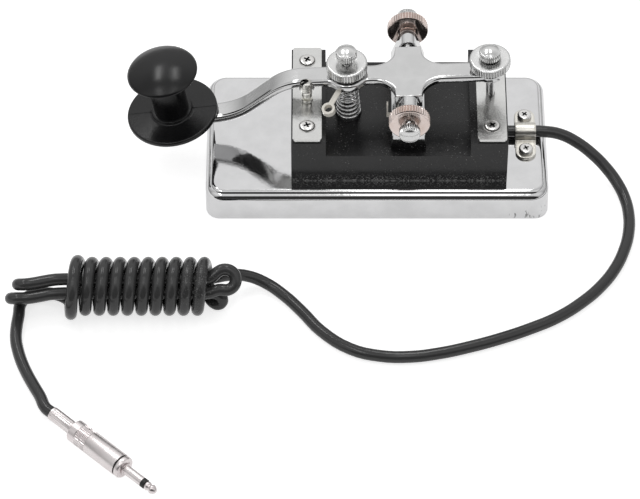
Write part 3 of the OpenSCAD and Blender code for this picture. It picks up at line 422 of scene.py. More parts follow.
def metal(name, colour, roughness, spread=0.05, tarnish=None, wave=0.00002):
    """Plated metal: faint smudges in its gloss, an uneven face and a second colour in patches, the tarnish's
    where given."""
    material, tree, sockets = principled(name, colour, 1.0, roughness)
    smudge = noise(tree, METAL_GRAIN / 8, detail=4.0)
    tree.links.new(remap(tree, smudge, 0.3, 0.7, max(0.02, roughness - spread), roughness + spread),
                   sockets["Roughness"])
    share = remap(tree, noise(tree, METAL_GRAIN / 5, detail=3.0), 0.35, 0.65)
    second = tarnish or tuple(c * 0.94 for c in colour)
    tree.links.new(mix_colour(tree, share, colour, second), sockets["Base Color"])
    add_bump(tree, sockets, noise(tree, METAL_GRAIN, detail=1.0), wave)
    return material


def plastic(name, colour, roughness, dust=0.0, dust_colour=(0.35, 0.35, 0.34)):
    """Moulding, and the tag's dull tin: a fine uneven gloss, and specks of dust."""
    material, tree, sockets = principled(name, colour, 0.0, roughness, IOR=1.4)
    gloss = noise(tree, PLASTIC_GRAIN / 20, detail=5.0)
    tree.links.new(remap(tree, gloss, 0.3, 0.7, roughness * 0.75, roughness * 1.3), sockets["Roughness"])
    specks = noise(tree, PLASTIC_GRAIN)
    crowd = noise(tree, PLASTIC_GRAIN / 60)
    limit = remap(tree, crowd, 0.35, 0.7, SPECK_LIMIT, SPECK_LIMIT - SPECK_SPREAD * dust)
    speck = times(tree, math_node(tree, "SUBTRACT", specks, limit), SPECK_GAIN)
    speck.node.use_clamp = True
    tone = mix_colour(tree, gloss, tuple(c * 0.85 for c in colour), tuple(c * 1.2 for c in colour))
    tree.links.new(mix_colour(tree, speck, tone, dust_colour), sockets["Base Color"])
    add_bump(tree, sockets, specks, PLASTIC_DEPTH)
    return material


def near(tree, value, middle, reach_out):
    """1 at the middle, falling to 0 at reach_out either side."""
    away = math_node(tree, "ABSOLUTE", math_node(tree, "SUBTRACT", value, middle))
    return remap(tree, away, 0.0, reach_out, 1.0, 0.0)


# The wear: the dust line where the block meets the base, the turns that carry fluff, the scratched corner
DUST_LINE_Z, DUST_LINE_W = 13.3 * MM, 0.45 * MM
GRIT_REACH = 4.0 * MM
FLUFF_X, FLUFF_X_REACH, FLUFF_Y_REACH = (HANK_X - 1.5) * MM, 9 * MM, 30 * MM
SCRATCH_X, SCRATCH_FADE, SCRATCH_Z, SCRATCH_REACH = 47 * MM, 3 * MM, 3.2 * MM, 4 * MM
BLOCK_DUST, FLUFF, SCRATCHED = (0.30, 0.30, 0.295), (0.24, 0.24, 0.235), (0.12, 0.12, 0.12)


def block_dust(tree, place):
    """A line with grit where the block meets the base, and fluff on its floor."""
    normal = split(tree, add_node(tree, "NewGeometry").outputs["Normal"])
    upward = remap(tree, normal[2], 0.5, 0.9)
    sideways = math_node(tree, "SUBTRACT", 1.0, upward)
    broken = remap(tree, noise(tree, 900, detail=3.0), 0.42, 0.62, 0.1, 1.0)
    line = times(tree, near(tree, place[2], DUST_LINE_Z, DUST_LINE_W), broken)
    grains = remap(tree, noise(tree, 1700, (1, 1, 1.4)), 0.56, 0.63)
    grit = times(tree, grains, near(tree, place[2], DUST_LINE_Z, GRIT_REACH))
    walls = times(tree, greater(tree, line, grit), sideways)
    fluff = remap(tree, noise(tree, 1500, (1, 1.6, 1)), 0.66, 0.72, 0.0, 0.8)
    crowd = remap(tree, noise(tree, 110), 0.42, 0.62, 0.15, 1.0)
    return greater(tree, walls, times(tree, fluff, crowd))


def turn_dust(tree, place):
    """Fluff caught on the hank's last two turns."""
    there = times(tree, near(tree, place[0], FLUFF_X, FLUFF_X_REACH),
                  near(tree, place[1], HANK_Y * MM, FLUFF_Y_REACH))
    return times(tree, there, remap(tree, noise(tree, 1700), 0.60, 0.68))


def scratches(tree, place):
    """Short dark scratches low on the base's right front corner."""
    there = times(tree, remap(tree, place[0], SCRATCH_X, SCRATCH_X + SCRATCH_FADE),
                  near(tree, place[2], SCRATCH_Z, SCRATCH_REACH))
    return times(tree, there, remap(tree, noise(tree, 700, (1.6, 1.0, 0.45), detail=3.0), 0.60, 0.66))


def lay_over(material, share, colour):
    """Lays a colour over what the shader's base colour already shows, where share says."""
    tree = material.node_tree
    there = share(tree, split(tree, place_of(tree)))
    base = tree.nodes["Principled BSDF"].inputs["Base Color"]
    tree.links.new(mix_colour(tree, there, base.links[0].from_socket, colour), base)


def make_materials():
    made = {name: metal(name, *look) for name, look in METALS.items()}
    made.update({name: plastic(name, *look) for name, look in PLASTICS.items()})
    lay_over(made["block_black"], block_dust, BLOCK_DUST)
    lay_over(made["cord_black"], turn_dust, FLUFF)
    lay_over(made["base_chrome"], scratches, SCRATCHED)
    return made


# Mesh tools

def axes(origin, direction):
    """A matrix whose Z runs along direction from origin."""
    z = Vector(direction).normalized()
    x = Vector((0, 1, 0)).cross(z)
    if x.length < 0.1:
        x = Vector((1, 0, 0))
    x.normalize()
    m = Matrix((x, z.cross(x), z)).transposed().to_4x4()
    m.translation = Vector(origin)
    return m


def reach(name, origin, direction):
    """How far a CAD node goes along a direction from a point: its lowest and highest place, in metres."""
    direction = Vector(direction).normalized()
    along = [(v.co - Vector(origin)).dot(direction) for v in nodes[name].data.vertices]
    return min(along), max(along)


def joint_line(name):
    """A joint's place, in metres, and its axis."""
    return Vector(joints[name]["pos_m"]), Vector(joints[name]["axis"])


def cad_corners(name):
    """The low and high corners of a CAD node, in millimetres."""
    return [Vector(c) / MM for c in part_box(name)]


def arc(cx, cz, r, a0, a1, steps):
    """Points (x, z) on a circle from angle a0 to a1, in degrees."""
    return [(cx + r * math.cos(math.radians(a0 + (a1 - a0) * i / steps)),
             cz + r * math.sin(math.radians(a0 + (a1 - a0) * i / steps))) for i in range(steps + 1)]


def move_new(bm, first, place):
    """Moves the vertices from the first new one on."""
    bm.verts.ensure_lookup_table()
    for v in bm.verts[first:]:
        v.co = place @ v.co


def turned_row(bm, z, segments, radius):
    """A closed row of vertices round Z; radius gives each one's own by its number."""
    row = []
    for i in range(segments):
        a = 2 * math.pi * i / segments
        q = radius(i) * MM
        row.append(bm.verts.new((q * math.cos(a), q * math.sin(a), z * MM)))
    return row


def rings(bm, profile, segments, ridges=0, place=None):
    """Revolves a profile of (radius, height) points round Z and takes it to its place. Radius 0 closes to a
    point. A third number is the depth of ridges there, which take four segments each."""
    segments = 4 * ridges or segments
    first = len(bm.verts)
    rows = []
    for r, z, *depth in profile:
        if r == 0:
            rows.append([bm.verts.new((0, 0, z * MM))])
            continue
        rows.append(turned_row(bm, z, segments, lambda i: r - (depth[0] if depth and i % 4 > 1 else 0.0)))
    for low, high in zip(rows, rows[1:]):
        for i in range(segments):
            j = (i + 1) % segments
            if len(low) == 1:
                bm.faces.new((low[0], high[j], high[i]))
            elif len(high) == 1:
                bm.faces.new((low[i], low[j], high[0]))
            else:
                bm.faces.new((low[i], low[j], high[j], high[i]))
    if place is not None:
        move_new(bm, first, place)


def rod(r, low, high):
    """The profile of a plain rod."""
    return [(0, low), (r, low), (r, high), (0, high)]


def dome(r, height, z, edge_r, steps):
    """The profile of a cap, height high on a disc of radius r at z, from edge_r in to its top."""
    ball = (r ** 2 + height ** 2) / (2 * height)
    rim = math.degrees(math.asin(edge_r / ball))
    turns = [math.radians(rim * (1 - i / steps)) for i in range(steps)]
    return [(ball * math.sin(a), z + height - ball + ball * math.cos(a)) for a in turns] + [(0, z + height)]


def bridge(bm, rows):
    """Joins closed rows of as many vertices each."""
    for low, high in zip(rows, rows[1:]):
        for i in range(len(low)):
            j = (i + 1) % len(low)
            bm.faces.new((low[i], low[j], high[j], high[i]))


def thread(bm, r, z0, z1, pitch=0.7, depth=0.24, segments=24):
    """A screwed rod from z0 up to z1, closed at both ends."""
    steps = max(2, round((z1 - z0) / pitch * 4))
    rows = []
    for k in range(steps + 1):
        z = z0 + (z1 - z0) * k / steps
        rows.append(turned_row(bm, z, segments,
                               lambda i: r - depth * abs(2 * ((z / pitch - i / segments) % 1.0) - 1)))
    bridge(bm, rows)
    for row, z in ((rows[0], z0), (rows[-1], z1)):
        tip = bm.verts.new((0, 0, z * MM))
        for i in range(segments):
            bm.faces.new((row[i], tip, row[(i + 1) % segments]))


def loft_rectangle(bm, length, width, corner_r, profile, steps, foot_r=0.0):
    """Lofts a rectangle with round corners through (inset, height) points and closes it at both ends.
    With foot_r the corners are that much tighter at the bottom, up to the body's edge."""
    rows = []
    for inset, z in profile:
        tighter = foot_r and (corner_r - foot_r) * max(0.0, 1 - z / BODY_EDGE_Z)
        r = max(corner_r - tighter - inset, 0.2)
        x, y = length / 2 - inset - r, width / 2 - inset - r
        row = []
        for k, (sx, sy) in enumerate(((1, 1), (-1, 1), (-1, -1), (1, -1))):
            for i in range(steps + 1):
                a = math.radians(90 * k + 90 * i / steps)
                row.append(bm.verts.new(((sx * x + r * math.cos(a)) * MM, (sy * y + r * math.sin(a)) * MM,
                                         z * MM)))
        rows.append(row)
    bridge(bm, rows)
    bm.faces.new(rows[0])
    bm.faces.new(rows[-1])


def mark_shaded_faces(bm, r0, r1, z0, z1):
    """Gives the faces whose middle lies between two radii and two heights the piece's second material, a darker
    one that paints the shade in its grooves and slots.
    """
    for face in bm.faces:
        centre = face.calc_center_median() / MM
        if r0 < centre.xy.length < r1 and z0 < centre.z < z1:
            face.material_index = 1


def shade(mesh, sharp=32):
    """Shades a mesh smooth, but for edges sharper than so many degrees."""
    mesh.shade_smooth()
    mesh.set_sharp_from_angle(angle=math.radians(sharp))
    return mesh


def finish_mesh(bm, name, place=None, sharp=32):
    """Turns a bmesh into an object at its place."""
    bmesh.ops.recalc_face_normals(bm, faces=bm.faces)
    if place is not None:
        bm.transform(place)
    mesh = bpy.data.meshes.new(name)
    bm.to_mesh(mesh)
    bm.free()
    return add_object(name, shade(mesh, sharp))


def taken_mesh(obj, *others):
    """The mesh that an object shows; it and the others go."""
    bpy.context.view_layer.update()
    mesh = bpy.data.meshes.new_from_object(obj.evaluated_get(bpy.context.evaluated_depsgraph_get()))
    for spent in (obj, *others):
        bpy.data.objects.remove(spent)
    return mesh


def joined(obj, other, operation="DIFFERENCE"):
    """The mesh of obj less the other, or with it; both objects go."""
    modify(obj, "BOOLEAN", object=other, operation=operation, use_self=True)
    return shade(taken_mesh(obj, other))


def dress(obj, slot, body, *replaced, finish=None, inner_shade=None):
    """Gives a piece its slot, body and CAD nodes. Its material is the slot's, or finish; its faces marked 1
    take a second, darker material, the painted shade of grooves, slots and recesses."""
    obj.data.materials.append(materials[finish or slot])
    if inner_shade:
        obj.data.materials.append(materials[inner_shade])
    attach(obj, body)
    if replaced:
        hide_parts(*replaced)
    return obj


# Base

THREAD_R = 1.7
BASE_CORNER_R, BASE_FOOT_R = 7.0, 5.0
BODY_EDGE_R, BODY_EDGE_Z, BODY_EDGE_END = 3.0, 9.3, 65
PLATEAU_EDGE_R, PLATEAU_INSET, PLATEAU_START = 1.6, 3.2, 22
POCKET_R, POCKET_DEPTH = 3.65, 3.6
BASE_FOOT = [(3.0, 0), (0.6, 0), (0.17, 0.15), (0, 0.6), (0, 1.0), (0, BODY_EDGE_Z - 0.5)]


def make_base():
    """The base in one pressing: a round upper edge, then the plateau's own smaller round edge."""
    low, high = cad_corners("base_plate")
    body = [(BODY_EDGE_R - x, z) for x, z in arc(0, BODY_EDGE_Z, BODY_EDGE_R, 0, BODY_EDGE_END, 10)]
    plateau = [(PLATEAU_INSET - x, z) for x, z in
               arc(0, high.z - PLATEAU_EDGE_R, PLATEAU_EDGE_R, PLATEAU_START, 90, 10)]
    bm = bmesh.new()
    loft_rectangle(bm, high.x - low.x, high.y - low.y, BASE_CORNER_R,
                   BASE_FOOT + body + plateau + [(PLATEAU_INSET + 0.5, high.z)], 12, BASE_FOOT_R)
    blank = finish_mesh(bm, "base_blank")
    bm = bmesh.new()
    for x, y, *_ in screw_spots("block_screws", 0, (0, 0, 0, 0), up=False):
        rings(bm, rod(POCKET_R, -1, POCKET_DEPTH), 40, place=Matrix.Translation((x, y, 0)))
    base = add_object("pressed_base", joined(blank, finish_mesh(bm, "base_pockets")))
    dress(base, "base_chrome", "root", "base_plate")


# Lever, repeating the source's plan and side view in its own frame: the pivot axis at its origin

PIVOT, _ = joint_line("lever_press")
TENSION_POS, LEVER_UP = joint_line("tension_screw_turn")
LEVER_T, LEVER_TOP = 3.0, 2.0
LEVER_UNDER = LEVER_TOP - LEVER_T
ARM_W, CROSS_W, CROSS_L, CROSS_DROP, CROSS_FILLET = 4.0, 4.8, 12.5, 4.0, 8.2
TENSION_BOSS_R, GAP_BOSS_R, BOSS_FILLET, BORE_CLEAR = 7.2, 4.8, 4.0, 0.12
BEND_START, BEND_R1, BEND_R2, SLOPE_L, SEAT_L = 38.3, 19.0, 19.5, 11.8, 21.8
BEND_ANGLE, FLAT_SEAT, BEND_STEPS = math.radians(41.5), math.radians(6), 12
BEND_L1, BEND_L2 = BEND_R1 * BEND_ANGLE, BEND_R2 * (BEND_ANGLE - FLAT_SEAT)
NOSE_X = -(BEND_START + BEND_L1 + SLOPE_L + BEND_L2 + SEAT_L)
TOP_ROUND, END_ROUND, UNDER_ROUND = 1.3, 0.4, 0.5
ROUND_FADE_Y, ROUND_FADE_L, LID_INSET = 11, 3, 0.35
PIN_BOSS_R, PIN_BOSS_H, PIN_BOSS_EDGE = 3.0, 1.2, 0.2
NOTCH_R, NOTCH_Y = 2.45, -4.8


def lever_outline(tension_x, gap_x):
    """The lever's plan, laid out flat, from its round end over one side to the nose and back."""
    grip = ARM_W + CROSS_FILLET
    fillet_y = ARM_W + BOSS_FILLET
    dx = math.sqrt((TENSION_BOSS_R + BOSS_FILLET) ** 2 - fillet_y ** 2)
    a = math.degrees(math.atan2(fillet_y, dx))
    half = (arc(gap_x, 0, GAP_BOSS_R, 0, 180 - math.degrees(math.asin(ARM_W / GAP_BOSS_R)), 20)
            + arc(CROSS_W + CROSS_FILLET, grip, CROSS_FILLET, 270, 180, 18)
            + [(CROSS_W, CROSS_L), (-CROSS_W, CROSS_L)]
            + arc(-CROSS_W - CROSS_FILLET, grip, CROSS_FILLET, 0, -90, 18)
            + arc(tension_x + dx, fillet_y, BOSS_FILLET, 270, 180 + a, 6)
            + arc(tension_x, 0, TENSION_BOSS_R, a, 180 - a, 24)[1:]
            + arc(tension_x - dx, fillet_y, BOSS_FILLET, -a, -90, 6)[1:] + [(NOSE_X, ARM_W)])
    return [Vector(q) for q in half + [(x, -y) for x, y in reversed(half[1:])]]


def inset_outline(points, insets):
    """Each point of a closed outline moved inwards by its own amount, with mitred corners."""
    moved = []
    for i, q in enumerate(points):
        before, after = q - points[i - 1], points[(i + 1) % len(points)] - q
        n1, n2 = (Vector((e.y, -e.x)).normalized() for e in (before, after))
        middle = (n1 + n2).normalized()
        moved.append(q - middle * (insets[i] / max(0.5, middle.dot(n1))))
    return moved


def bend_point(v):
    """Takes a point of the flat lever to its bent place; the top face keeps its length."""
    t = -v.x / MM - BEND_START
    if t <= 0:
        return v
    x, z, angle = -BEND_START, LEVER_TOP, min(t / BEND_R1, BEND_ANGLE)
    x -= BEND_R1 * math.sin(angle)
    z -= BEND_R1 * (1 - math.cos(angle))
    t -= BEND_L1
    if t > 0:
        run = min(t, SLOPE_L)
        x, z = x - run * math.cos(angle), z - run * math.sin(angle)
        t -= SLOPE_L
    if t > 0:
        turned = BEND_ANGLE - min(t, BEND_L2) / BEND_R2
        x -= BEND_R2 * (math.sin(BEND_ANGLE) - math.sin(turned))
        z -= BEND_R2 * (math.cos(turned) - math.cos(BEND_ANGLE))
        angle = turned
        t -= BEND_L2
    if t > 0:
        x, z = x - t * math.cos(angle), z - t * math.sin(angle)
    depth = LEVER_TOP - v.z / MM
    return Vector(((x + depth * math.sin(angle)) * MM, v.y, (z - depth * math.cos(angle)) * MM))


def lever_blank(outline):
    """The plate with its edges rounded, most on top and least at the cross arm's ends, then bent."""
    rounds = [END_ROUND + (TOP_ROUND - END_ROUND) * smooth((ROUND_FADE_Y - abs(q.y)) / ROUND_FADE_L)
              for q in outline]
    quarter = [math.radians(a) for a in range(90, -1, -15)]
    count = len(outline)
    levels = [([r + LID_INSET for r in rounds], [LEVER_TOP] * count)]
    levels += [([r * (1 - math.cos(a)) for r in rounds], [LEVER_TOP + r * (math.sin(a) - 1) for r in rounds])
               for a in quarter]
    under = LEVER_UNDER + UNDER_ROUND
    edge = [(0, under + 0.2)] + [(UNDER_ROUND - x, under + y) for x, y in arc(0, 0, UNDER_ROUND, 0, -90, 4)]
    levels += [([inset] * count, [z] * count) for inset, z in edge]
    bm = bmesh.new()
    rows = [[bm.verts.new((q.x * MM, q.y * MM, z * MM))
             for q, z in zip(inset_outline(outline, insets), heights)] for insets, heights in levels]
    for high, low in zip(rows, rows[1:]):
        for i in range(count):
            j = (i + 1) % count
            bm.faces.new((high[i], low[i], low[j], high[j]))
    bm.faces.new(rows[0])
    bm.faces.new(rows[-1])
    for start, length in ((BEND_START, BEND_L1), (BEND_START + BEND_L1 + SLOPE_L, BEND_L2)):
        for i in range(BEND_STEPS + 1):
            x = start + length * i / BEND_STEPS
            bmesh.ops.bisect_plane(bm, geom=bm.verts[:] + bm.edges[:] + bm.faces[:], dist=1e-7,
                                   plane_co=(-x * MM, 0, 0), plane_no=(1, 0, 0))
    for v in bm.verts:
        v.co = bend_point(v.co)
    return finish_mesh(bm, "lever_blank")


def make_lever():
    place = axes(PIVOT, LEVER_UP)
    back = place.inverted()
    tension_x, gap_x = ((back @ joint_line(name)[0]).x / MM
                        for name in ("tension_screw_turn", "gap_screw_turn"))
    pin_low, pin_high = (back @ Vector(c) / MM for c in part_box("contact_pin"))
    pin_x, pin_y = ((pin_low[k] + pin_high[k]) / 2 for k in (0, 1))
    blank = lever_blank(lever_outline(tension_x, gap_x))

    bm = bmesh.new()
    trunnion = [(END_ROUND, -CROSS_DROP), (END_ROUND * 0.3, -CROSS_DROP + END_ROUND * 0.3),
                (0, -CROSS_DROP + END_ROUND), (0, LEVER_TOP - 1.5 * END_ROUND)]
    loft_rectangle(bm, 2 * CROSS_W, 2 * CROSS_L, 0.25, trunnion, 2)
    low = LEVER_UNDER - PIN_BOSS_H
    rings(bm, [(0, low), (PIN_BOSS_R - PIN_BOSS_EDGE, low), (PIN_BOSS_R, low + PIN_BOSS_EDGE),
               (PIN_BOSS_R, LEVER_UNDER + 1), (0, LEVER_UNDER + 1)], 40,
          place=Matrix.Translation((pin_x * MM, pin_y * MM, 0)))
    whole = add_object("lever_whole", joined(blank, finish_mesh(bm, "lever_block"), "UNION"))

    bm = bmesh.new()
    for x in (tension_x, gap_x):
        rings(bm, rod(THREAD_R + BORE_CLEAR, LEVER_UNDER - 1, LEVER_TOP + 1), 32,
              place=Matrix.Translation((x * MM, 0, 0)))
    rings(bm, rod(NOTCH_R, LEVER_UNDER - 1.5, LEVER_TOP + 1), 48,
          place=Matrix.Translation((pin_x * MM, NOTCH_Y * MM, 0)))
    for side in (-1, 1):
        rings(bm, [(0, -0.5), (THREAD_R + 0.5, -0.5), (THREAD_R + 0.1, 0), (0.1, 1.5), (0, 1.5)], 32,
              place=axes((0, side * CROSS_L * MM, 0), (0, -side, 0)))
    mesh = joined(whole, finish_mesh(bm, "lever_bores"))
    mesh.transform(place)
    dress(add_object("cross_lever", mesh), "bright_chrome", "lever", "lever")


# Contact pin

PIN_R, PIN_SINK = 2.05, 1.4
PIN_STEP_Z, PIN_PITCH, PIN_THREAD_DEPTH = 2.0, 1.0, 0.3
SLOT_W, SLOT_DEPTH, SLOT_TURN = 1.1, 0.7, math.radians(40)


def make_contact_pin():
    """The pin in the lever's notch: a slotted end, a screwed part, a step and a round foot."""
    low, _ = reach("contact_pin", TENSION_POS, LEVER_UP)
    points = [v.co for v in nodes["contact_pin"].data.vertices]
    centre = sum(points, Vector()) / len(points)
    foot = centre - LEVER_UP * ((centre - TENSION_POS).dot(LEVER_UP) - low)
    r, step = PIN_R, PIN_STEP_Z
    top = LEVER_TOP - PIN_SINK - (foot - PIVOT).dot(LEVER_UP) / MM
    end = bmesh.new()
    rings(end, [(0, top - 1.2), (r - 0.2, top - 1.2), (r - 0.05, top - 1.05), (r - 0.05, top - 0.2),
                (r - 0.25, top), (0, top)], 40)
    slot = bmesh.new()
    bmesh.ops.create_cube(slot, size=1, matrix=Matrix.Rotation(SLOT_TURN, 4, "Z")
                          @ Matrix.Translation((0, 0, top * MM))
                          @ Matrix.Diagonal((6 * MM, SLOT_W * MM, 2 * SLOT_DEPTH * MM, 1)))
    bm = bmesh.new()
    bm.from_mesh(joined(finish_mesh(end, "pin_end"), finish_mesh(slot, "pin_slot")))
    # The slot's faces take the dark second material: painted shade in the slot.
    mark_shaded_faces(bm, -1, r - 0.3, top - SLOT_DEPTH - 0.05, top - 0.03)
    rings(bm, [(0, 0), (r - 0.75, 0.02)] + arc(r - 0.6, 0.5, 0.45, -60, 0, 4)
          + [(r - 0.15, step), (r, step + 0.15), (r, step + 0.5), (r - 0.2, step + 0.65)], 36)
    thread(bm, r - 0.02, step + 0.6, top - 1.1, PIN_PITCH, PIN_THREAD_DEPTH, 32)
    dress(finish_mesh(bm, "screwed_contact", axes(foot, LEVER_UP), 40), "contact_silver", "lever",
          "contact_pin", inner_shade="painted_recess_shade")


# Thumb screws and nuts

NUT_R, NUT_T, NUT_HUB_R, NUT_HUB_H = 7.5, 3.7, 3.2, 2.0
HEAD_R, HEAD_H, HEAD_DOME = 3.85, 3.3, 1.0
NUT_RIDGES, HEAD_RIDGES = 44, 28
RIDGE_DEPTH = 0.38
CHAMFER, LIP = 0.45, 0.12
GROOVE_SHARE = 0.7


def make_nut(name, slot, groove_shade):
    pos, axis = joint_line(name + "_turn")
    low, _ = reach(name, pos, axis)
    bore = THREAD_R + 0.1
    base, top = NUT_HUB_H, NUT_HUB_H + NUT_T
    bm = bmesh.new()
    hub = [(bore, 0), (NUT_HUB_R - 0.2, 0), (NUT_HUB_R, 0.2), (NUT_HUB_R, base - 0.5),
           (NUT_HUB_R + 0.5, base - 0.4), (NUT_HUB_R + 0.5, base)]
    disc = [(NUT_R - CHAMFER - 0.1, base), (NUT_R - LIP, base + CHAMFER * 0.6, 0.1),
            (NUT_R, base + CHAMFER, RIDGE_DEPTH), (NUT_R, top - CHAMFER, RIDGE_DEPTH),
            (NUT_R - LIP, top - CHAMFER * 0.6, 0.1), (NUT_R - CHAMFER - 0.1, top - 0.02),
            (NUT_R - CHAMFER - 0.4, top)]
    face = [(bore + 1.1, top), (bore + 0.9, top - 0.06), (bore, top - 0.8), (bore, 0)]
    rings(bm, hub + disc + face, 0, NUT_RIDGES)
    bmesh.ops.remove_doubles(bm, verts=bm.verts, dist=1e-7)
    # The faces down in the knurl's grooves take the darker second material: painted shade, not a colour of the
    # nut.
    outer = NUT_R - RIDGE_DEPTH * GROOVE_SHARE
    mark_shaded_faces(bm, outer - 0.5, outer, base + CHAMFER, top - CHAMFER)
    dress(finish_mesh(bm, name + "_knurled", axes(pos + axis * low, axis)), slot, name, name, inner_shade=groove_shade)


def make_thumb_screw(name, shank_end, guide=None, cone=False):
    """A knurled head with a dome and a screwed shank, which stops shank_end above the tip, at a smooth pin of
    radius guide or at a cone if it has one."""
    pos, axis = joint_line(name + "_turn")
    tip, end = (z / MM for z in reach(name, pos, axis))
    head_z = end - HEAD_H - HEAD_DOME
    top = head_z + HEAD_H
    stop = tip + shank_end
    dome_r = HEAD_R - RIDGE_DEPTH - 0.1
    head = [(0, head_z), (THREAD_R - 0.1, head_z), (HEAD_R - 0.5, head_z),
            (HEAD_R, head_z + 0.4, RIDGE_DEPTH), (HEAD_R, top - 0.35, RIDGE_DEPTH),
            (dome_r + LIP, top - 0.02)]
    bm = bmesh.new()
    rings(bm, head + dome(dome_r, HEAD_DOME, top, dome_r, 8), 0, HEAD_RIDGES)
    # The faces down in the head's knurl take the darker second material: painted shade.
    outer = HEAD_R - RIDGE_DEPTH * GROOVE_SHARE
    mark_shaded_faces(bm, outer - 0.5, outer, head_z + 0.4, top - 0.35)
    thread(bm, THREAD_R, stop, head_z + 0.02)
    if guide:
        rings(bm, [(0, tip), (guide - 0.2, tip), (guide, tip + 0.2), (guide, stop + 0.1)], 24)
    if cone:
        rings(bm, [(0, tip), (THREAD_R - 0.22, stop), (THREAD_R - 0.22, stop + 0.1)], 24)
    dress(finish_mesh(bm, name + "_knurled", axes(pos, axis), 40), "nut_nickel", name, name,
          inner_shade="groove_shade_nickel")


# Cross-head screws. A recess's length and width are shares of the head's radius, and the steps of a crown
# are shares of the crown's.

RECESS_DEPTH, RECESS_L, RECESS_W = 1.1, 1.2, 0.28
CROWN_STEPS = (0.97, 0.93, 0.87, 0.79, 0.68, 0.55, 0.38, 0.2)
SCREW_APART = 9 * MM

# Head radius, head height, shank radius, length. The strap screws' heads are lower than the source's, which
# are STRAP_HEAD_H, on the same seat.
STRAP_HEAD_H = 1.8
STRAP_SCREW = (3.1, 0.85, 1.5, 9.6)
BRACKET_SCREW = (2.9, 1.7, 1.5, 7.2)
CLAMP_SCREW = (2.6, 1.7, 1.2, 6.0)
BLOCK_SCREW = (3.4, 2.6, 1.5, 15.4)
KNOB_SCREW = (2.9, 1.7, 1.5, 13.3)


def cross_head(name, head_r, head_h, shank_r, length, sunk=False):
    """The mesh of a cross-head screw, pointing down, its head's underside at z = 0: a pan head, or a sunk
    head that shows as a low disc inside the rim of its hole."""
    bm = bmesh.new()
    shank = [(0, -length), (shank_r - 0.3, -length), (shank_r, -length + 0.3), (shank_r, 0)]
    if sunk:
        rim, crown_r, power = head_h - 0.3, head_r - 0.48, 4
        edge = [(head_r, 0), (head_r, 0.12), (head_r - 0.1, 0.22), (head_r - 0.2, 0.22),
                (head_r - 0.34, 0.06), (crown_r, 0.06), (crown_r, rim)]
    else:
        rim, crown_r, power = head_h * 0.70, head_r, 8
        edge = [(head_r - 0.12, 0), (head_r, 0.12), (head_r, rim)]
    crown = [(crown_r * t, rim + (head_h - rim) * math.sqrt(1 - t ** power)) for t in CROWN_STEPS]
    rings(bm, shank + edge + crown + [(0, head_h)], 48)
    head = finish_mesh(bm, name + "_blank", sharp=45)
    bm = bmesh.new()
    for turn in (0, 90):
        arm = bmesh.ops.create_cube(bm, size=1.0)["verts"]
        size = (head_r * RECESS_L * MM, head_r * RECESS_W * MM, RECESS_DEPTH * 2 * MM)
        bmesh.ops.scale(bm, vec=size, verts=arm)
        for v in arm:
            if v.co.z < 0:
                v.co.x *= 0.45
                v.co.y *= 0.7
        bmesh.ops.rotate(bm, matrix=Matrix.Rotation(math.radians(turn), 3, "Z"), verts=arm)
        bmesh.ops.translate(bm, vec=(0, 0, head_h * MM), verts=arm)
    mesh = joined(head, finish_mesh(bm, name + "_cutter"))
    # The cross recess, and the ring round a sunk head, take the dark second material: painted shade in the
    # hollows.
    for face in mesh.polygons:
        out, z = face.center.xy.length / (head_r * MM), face.center.z / MM
        recess = out < 0.64 and head_h - RECESS_DEPTH - 0.1 < z < head_h - 0.12
        groove_shade = sunk and 0.83 < out < 0.90 and 0 < z < 0.4
        face.material_index = int(recess or groove_shade)
    return mesh


def screw_spots(name, head_h, turns, up=True):
    """Finds each screw of a CAD node by its separate groups of vertices: the seat of its head, in metres, and
    its turn, in degrees."""
    groups = []
    for v in nodes[name].data.vertices:
        for group in groups:
            if (v.co.xy - group[0].xy).length < SCREW_APART:
                group.append(v.co)
                break
        else:
            groups.append([v.co])
    spots = []
    for group, turn in zip(groups, turns):
        x, y = ((min(p[k] for p in group) + max(p[k] for p in group)) / 2 for k in (0, 1))
        z = max(p.z for p in group) - head_h * MM if up else min(p.z for p in group) + head_h * MM
        spots.append((x, y, z, turn))
    return spots


def make_cross_screws(name, size, turns, head_h=None, up=True, sunk=False):
    """One piece with the screws of a CAD node; head_h is the source's height of a head, if it differs."""
    mesh = cross_head(name, *size, sunk=sunk)
    bm = bmesh.new()
    for x, y, z, turn in screw_spots(name, head_h or size[1], turns, up):
        first = len(bm.verts)
        bm.from_mesh(mesh)
        seat = axes((x, y, z), (0, 0, 1 if up else -1))
        move_new(bm, first, seat @ Matrix.Rotation(math.radians(turn), 4, "Z"))
    dress(finish_mesh(bm, name + "_cross_head"), "screw_steel", body_of_node[name], name,
          inner_shade="painted_recess_shade")


def make_screws():
    make_cross_screws("strap_screws", STRAP_SCREW, (20, 62, 35, 12), STRAP_HEAD_H, sunk=True)
    make_cross_screws("bracket_screws", BRACKET_SCREW, (10, 40))
    make_cross_screws("clamp_screws", CLAMP_SCREW, (25, 50))
    make_cross_screws("block_screws", BLOCK_SCREW, (5, 30, 55, 70), up=False)
    for name in ("tension_nut", "gap_nut"):
        make_nut(name, "nut_nickel", "groove_shade_nickel")
    for name in ("front_pivot_nut", "rear_pivot_nut"):
        make_nut(name, "nut_warm", "groove_shade_warm")
    make_thumb_screw("tension_screw", 6.0, guide=1.2)
    make_thumb_screw("gap_screw", 0.0)
    for name in ("front_pivot_screw", "rear_pivot_screw"):
        make_thumb_screw(name, 1.5, cone=True)


# Knob

SEAT_ANGLE = math.radians(8.5)
SKIRT_R, SKIRT_T, COLLAR_R, COLLAR_H, RIM_R = 16.8, 2.1, 7.5, 1.2, 0.7
KNOB_R, STEM_R, RIM_H, DOME_H = 13.0, 6.4, 21.0, 3.8
RIB_W, RIB_H = 0.5, 0.14


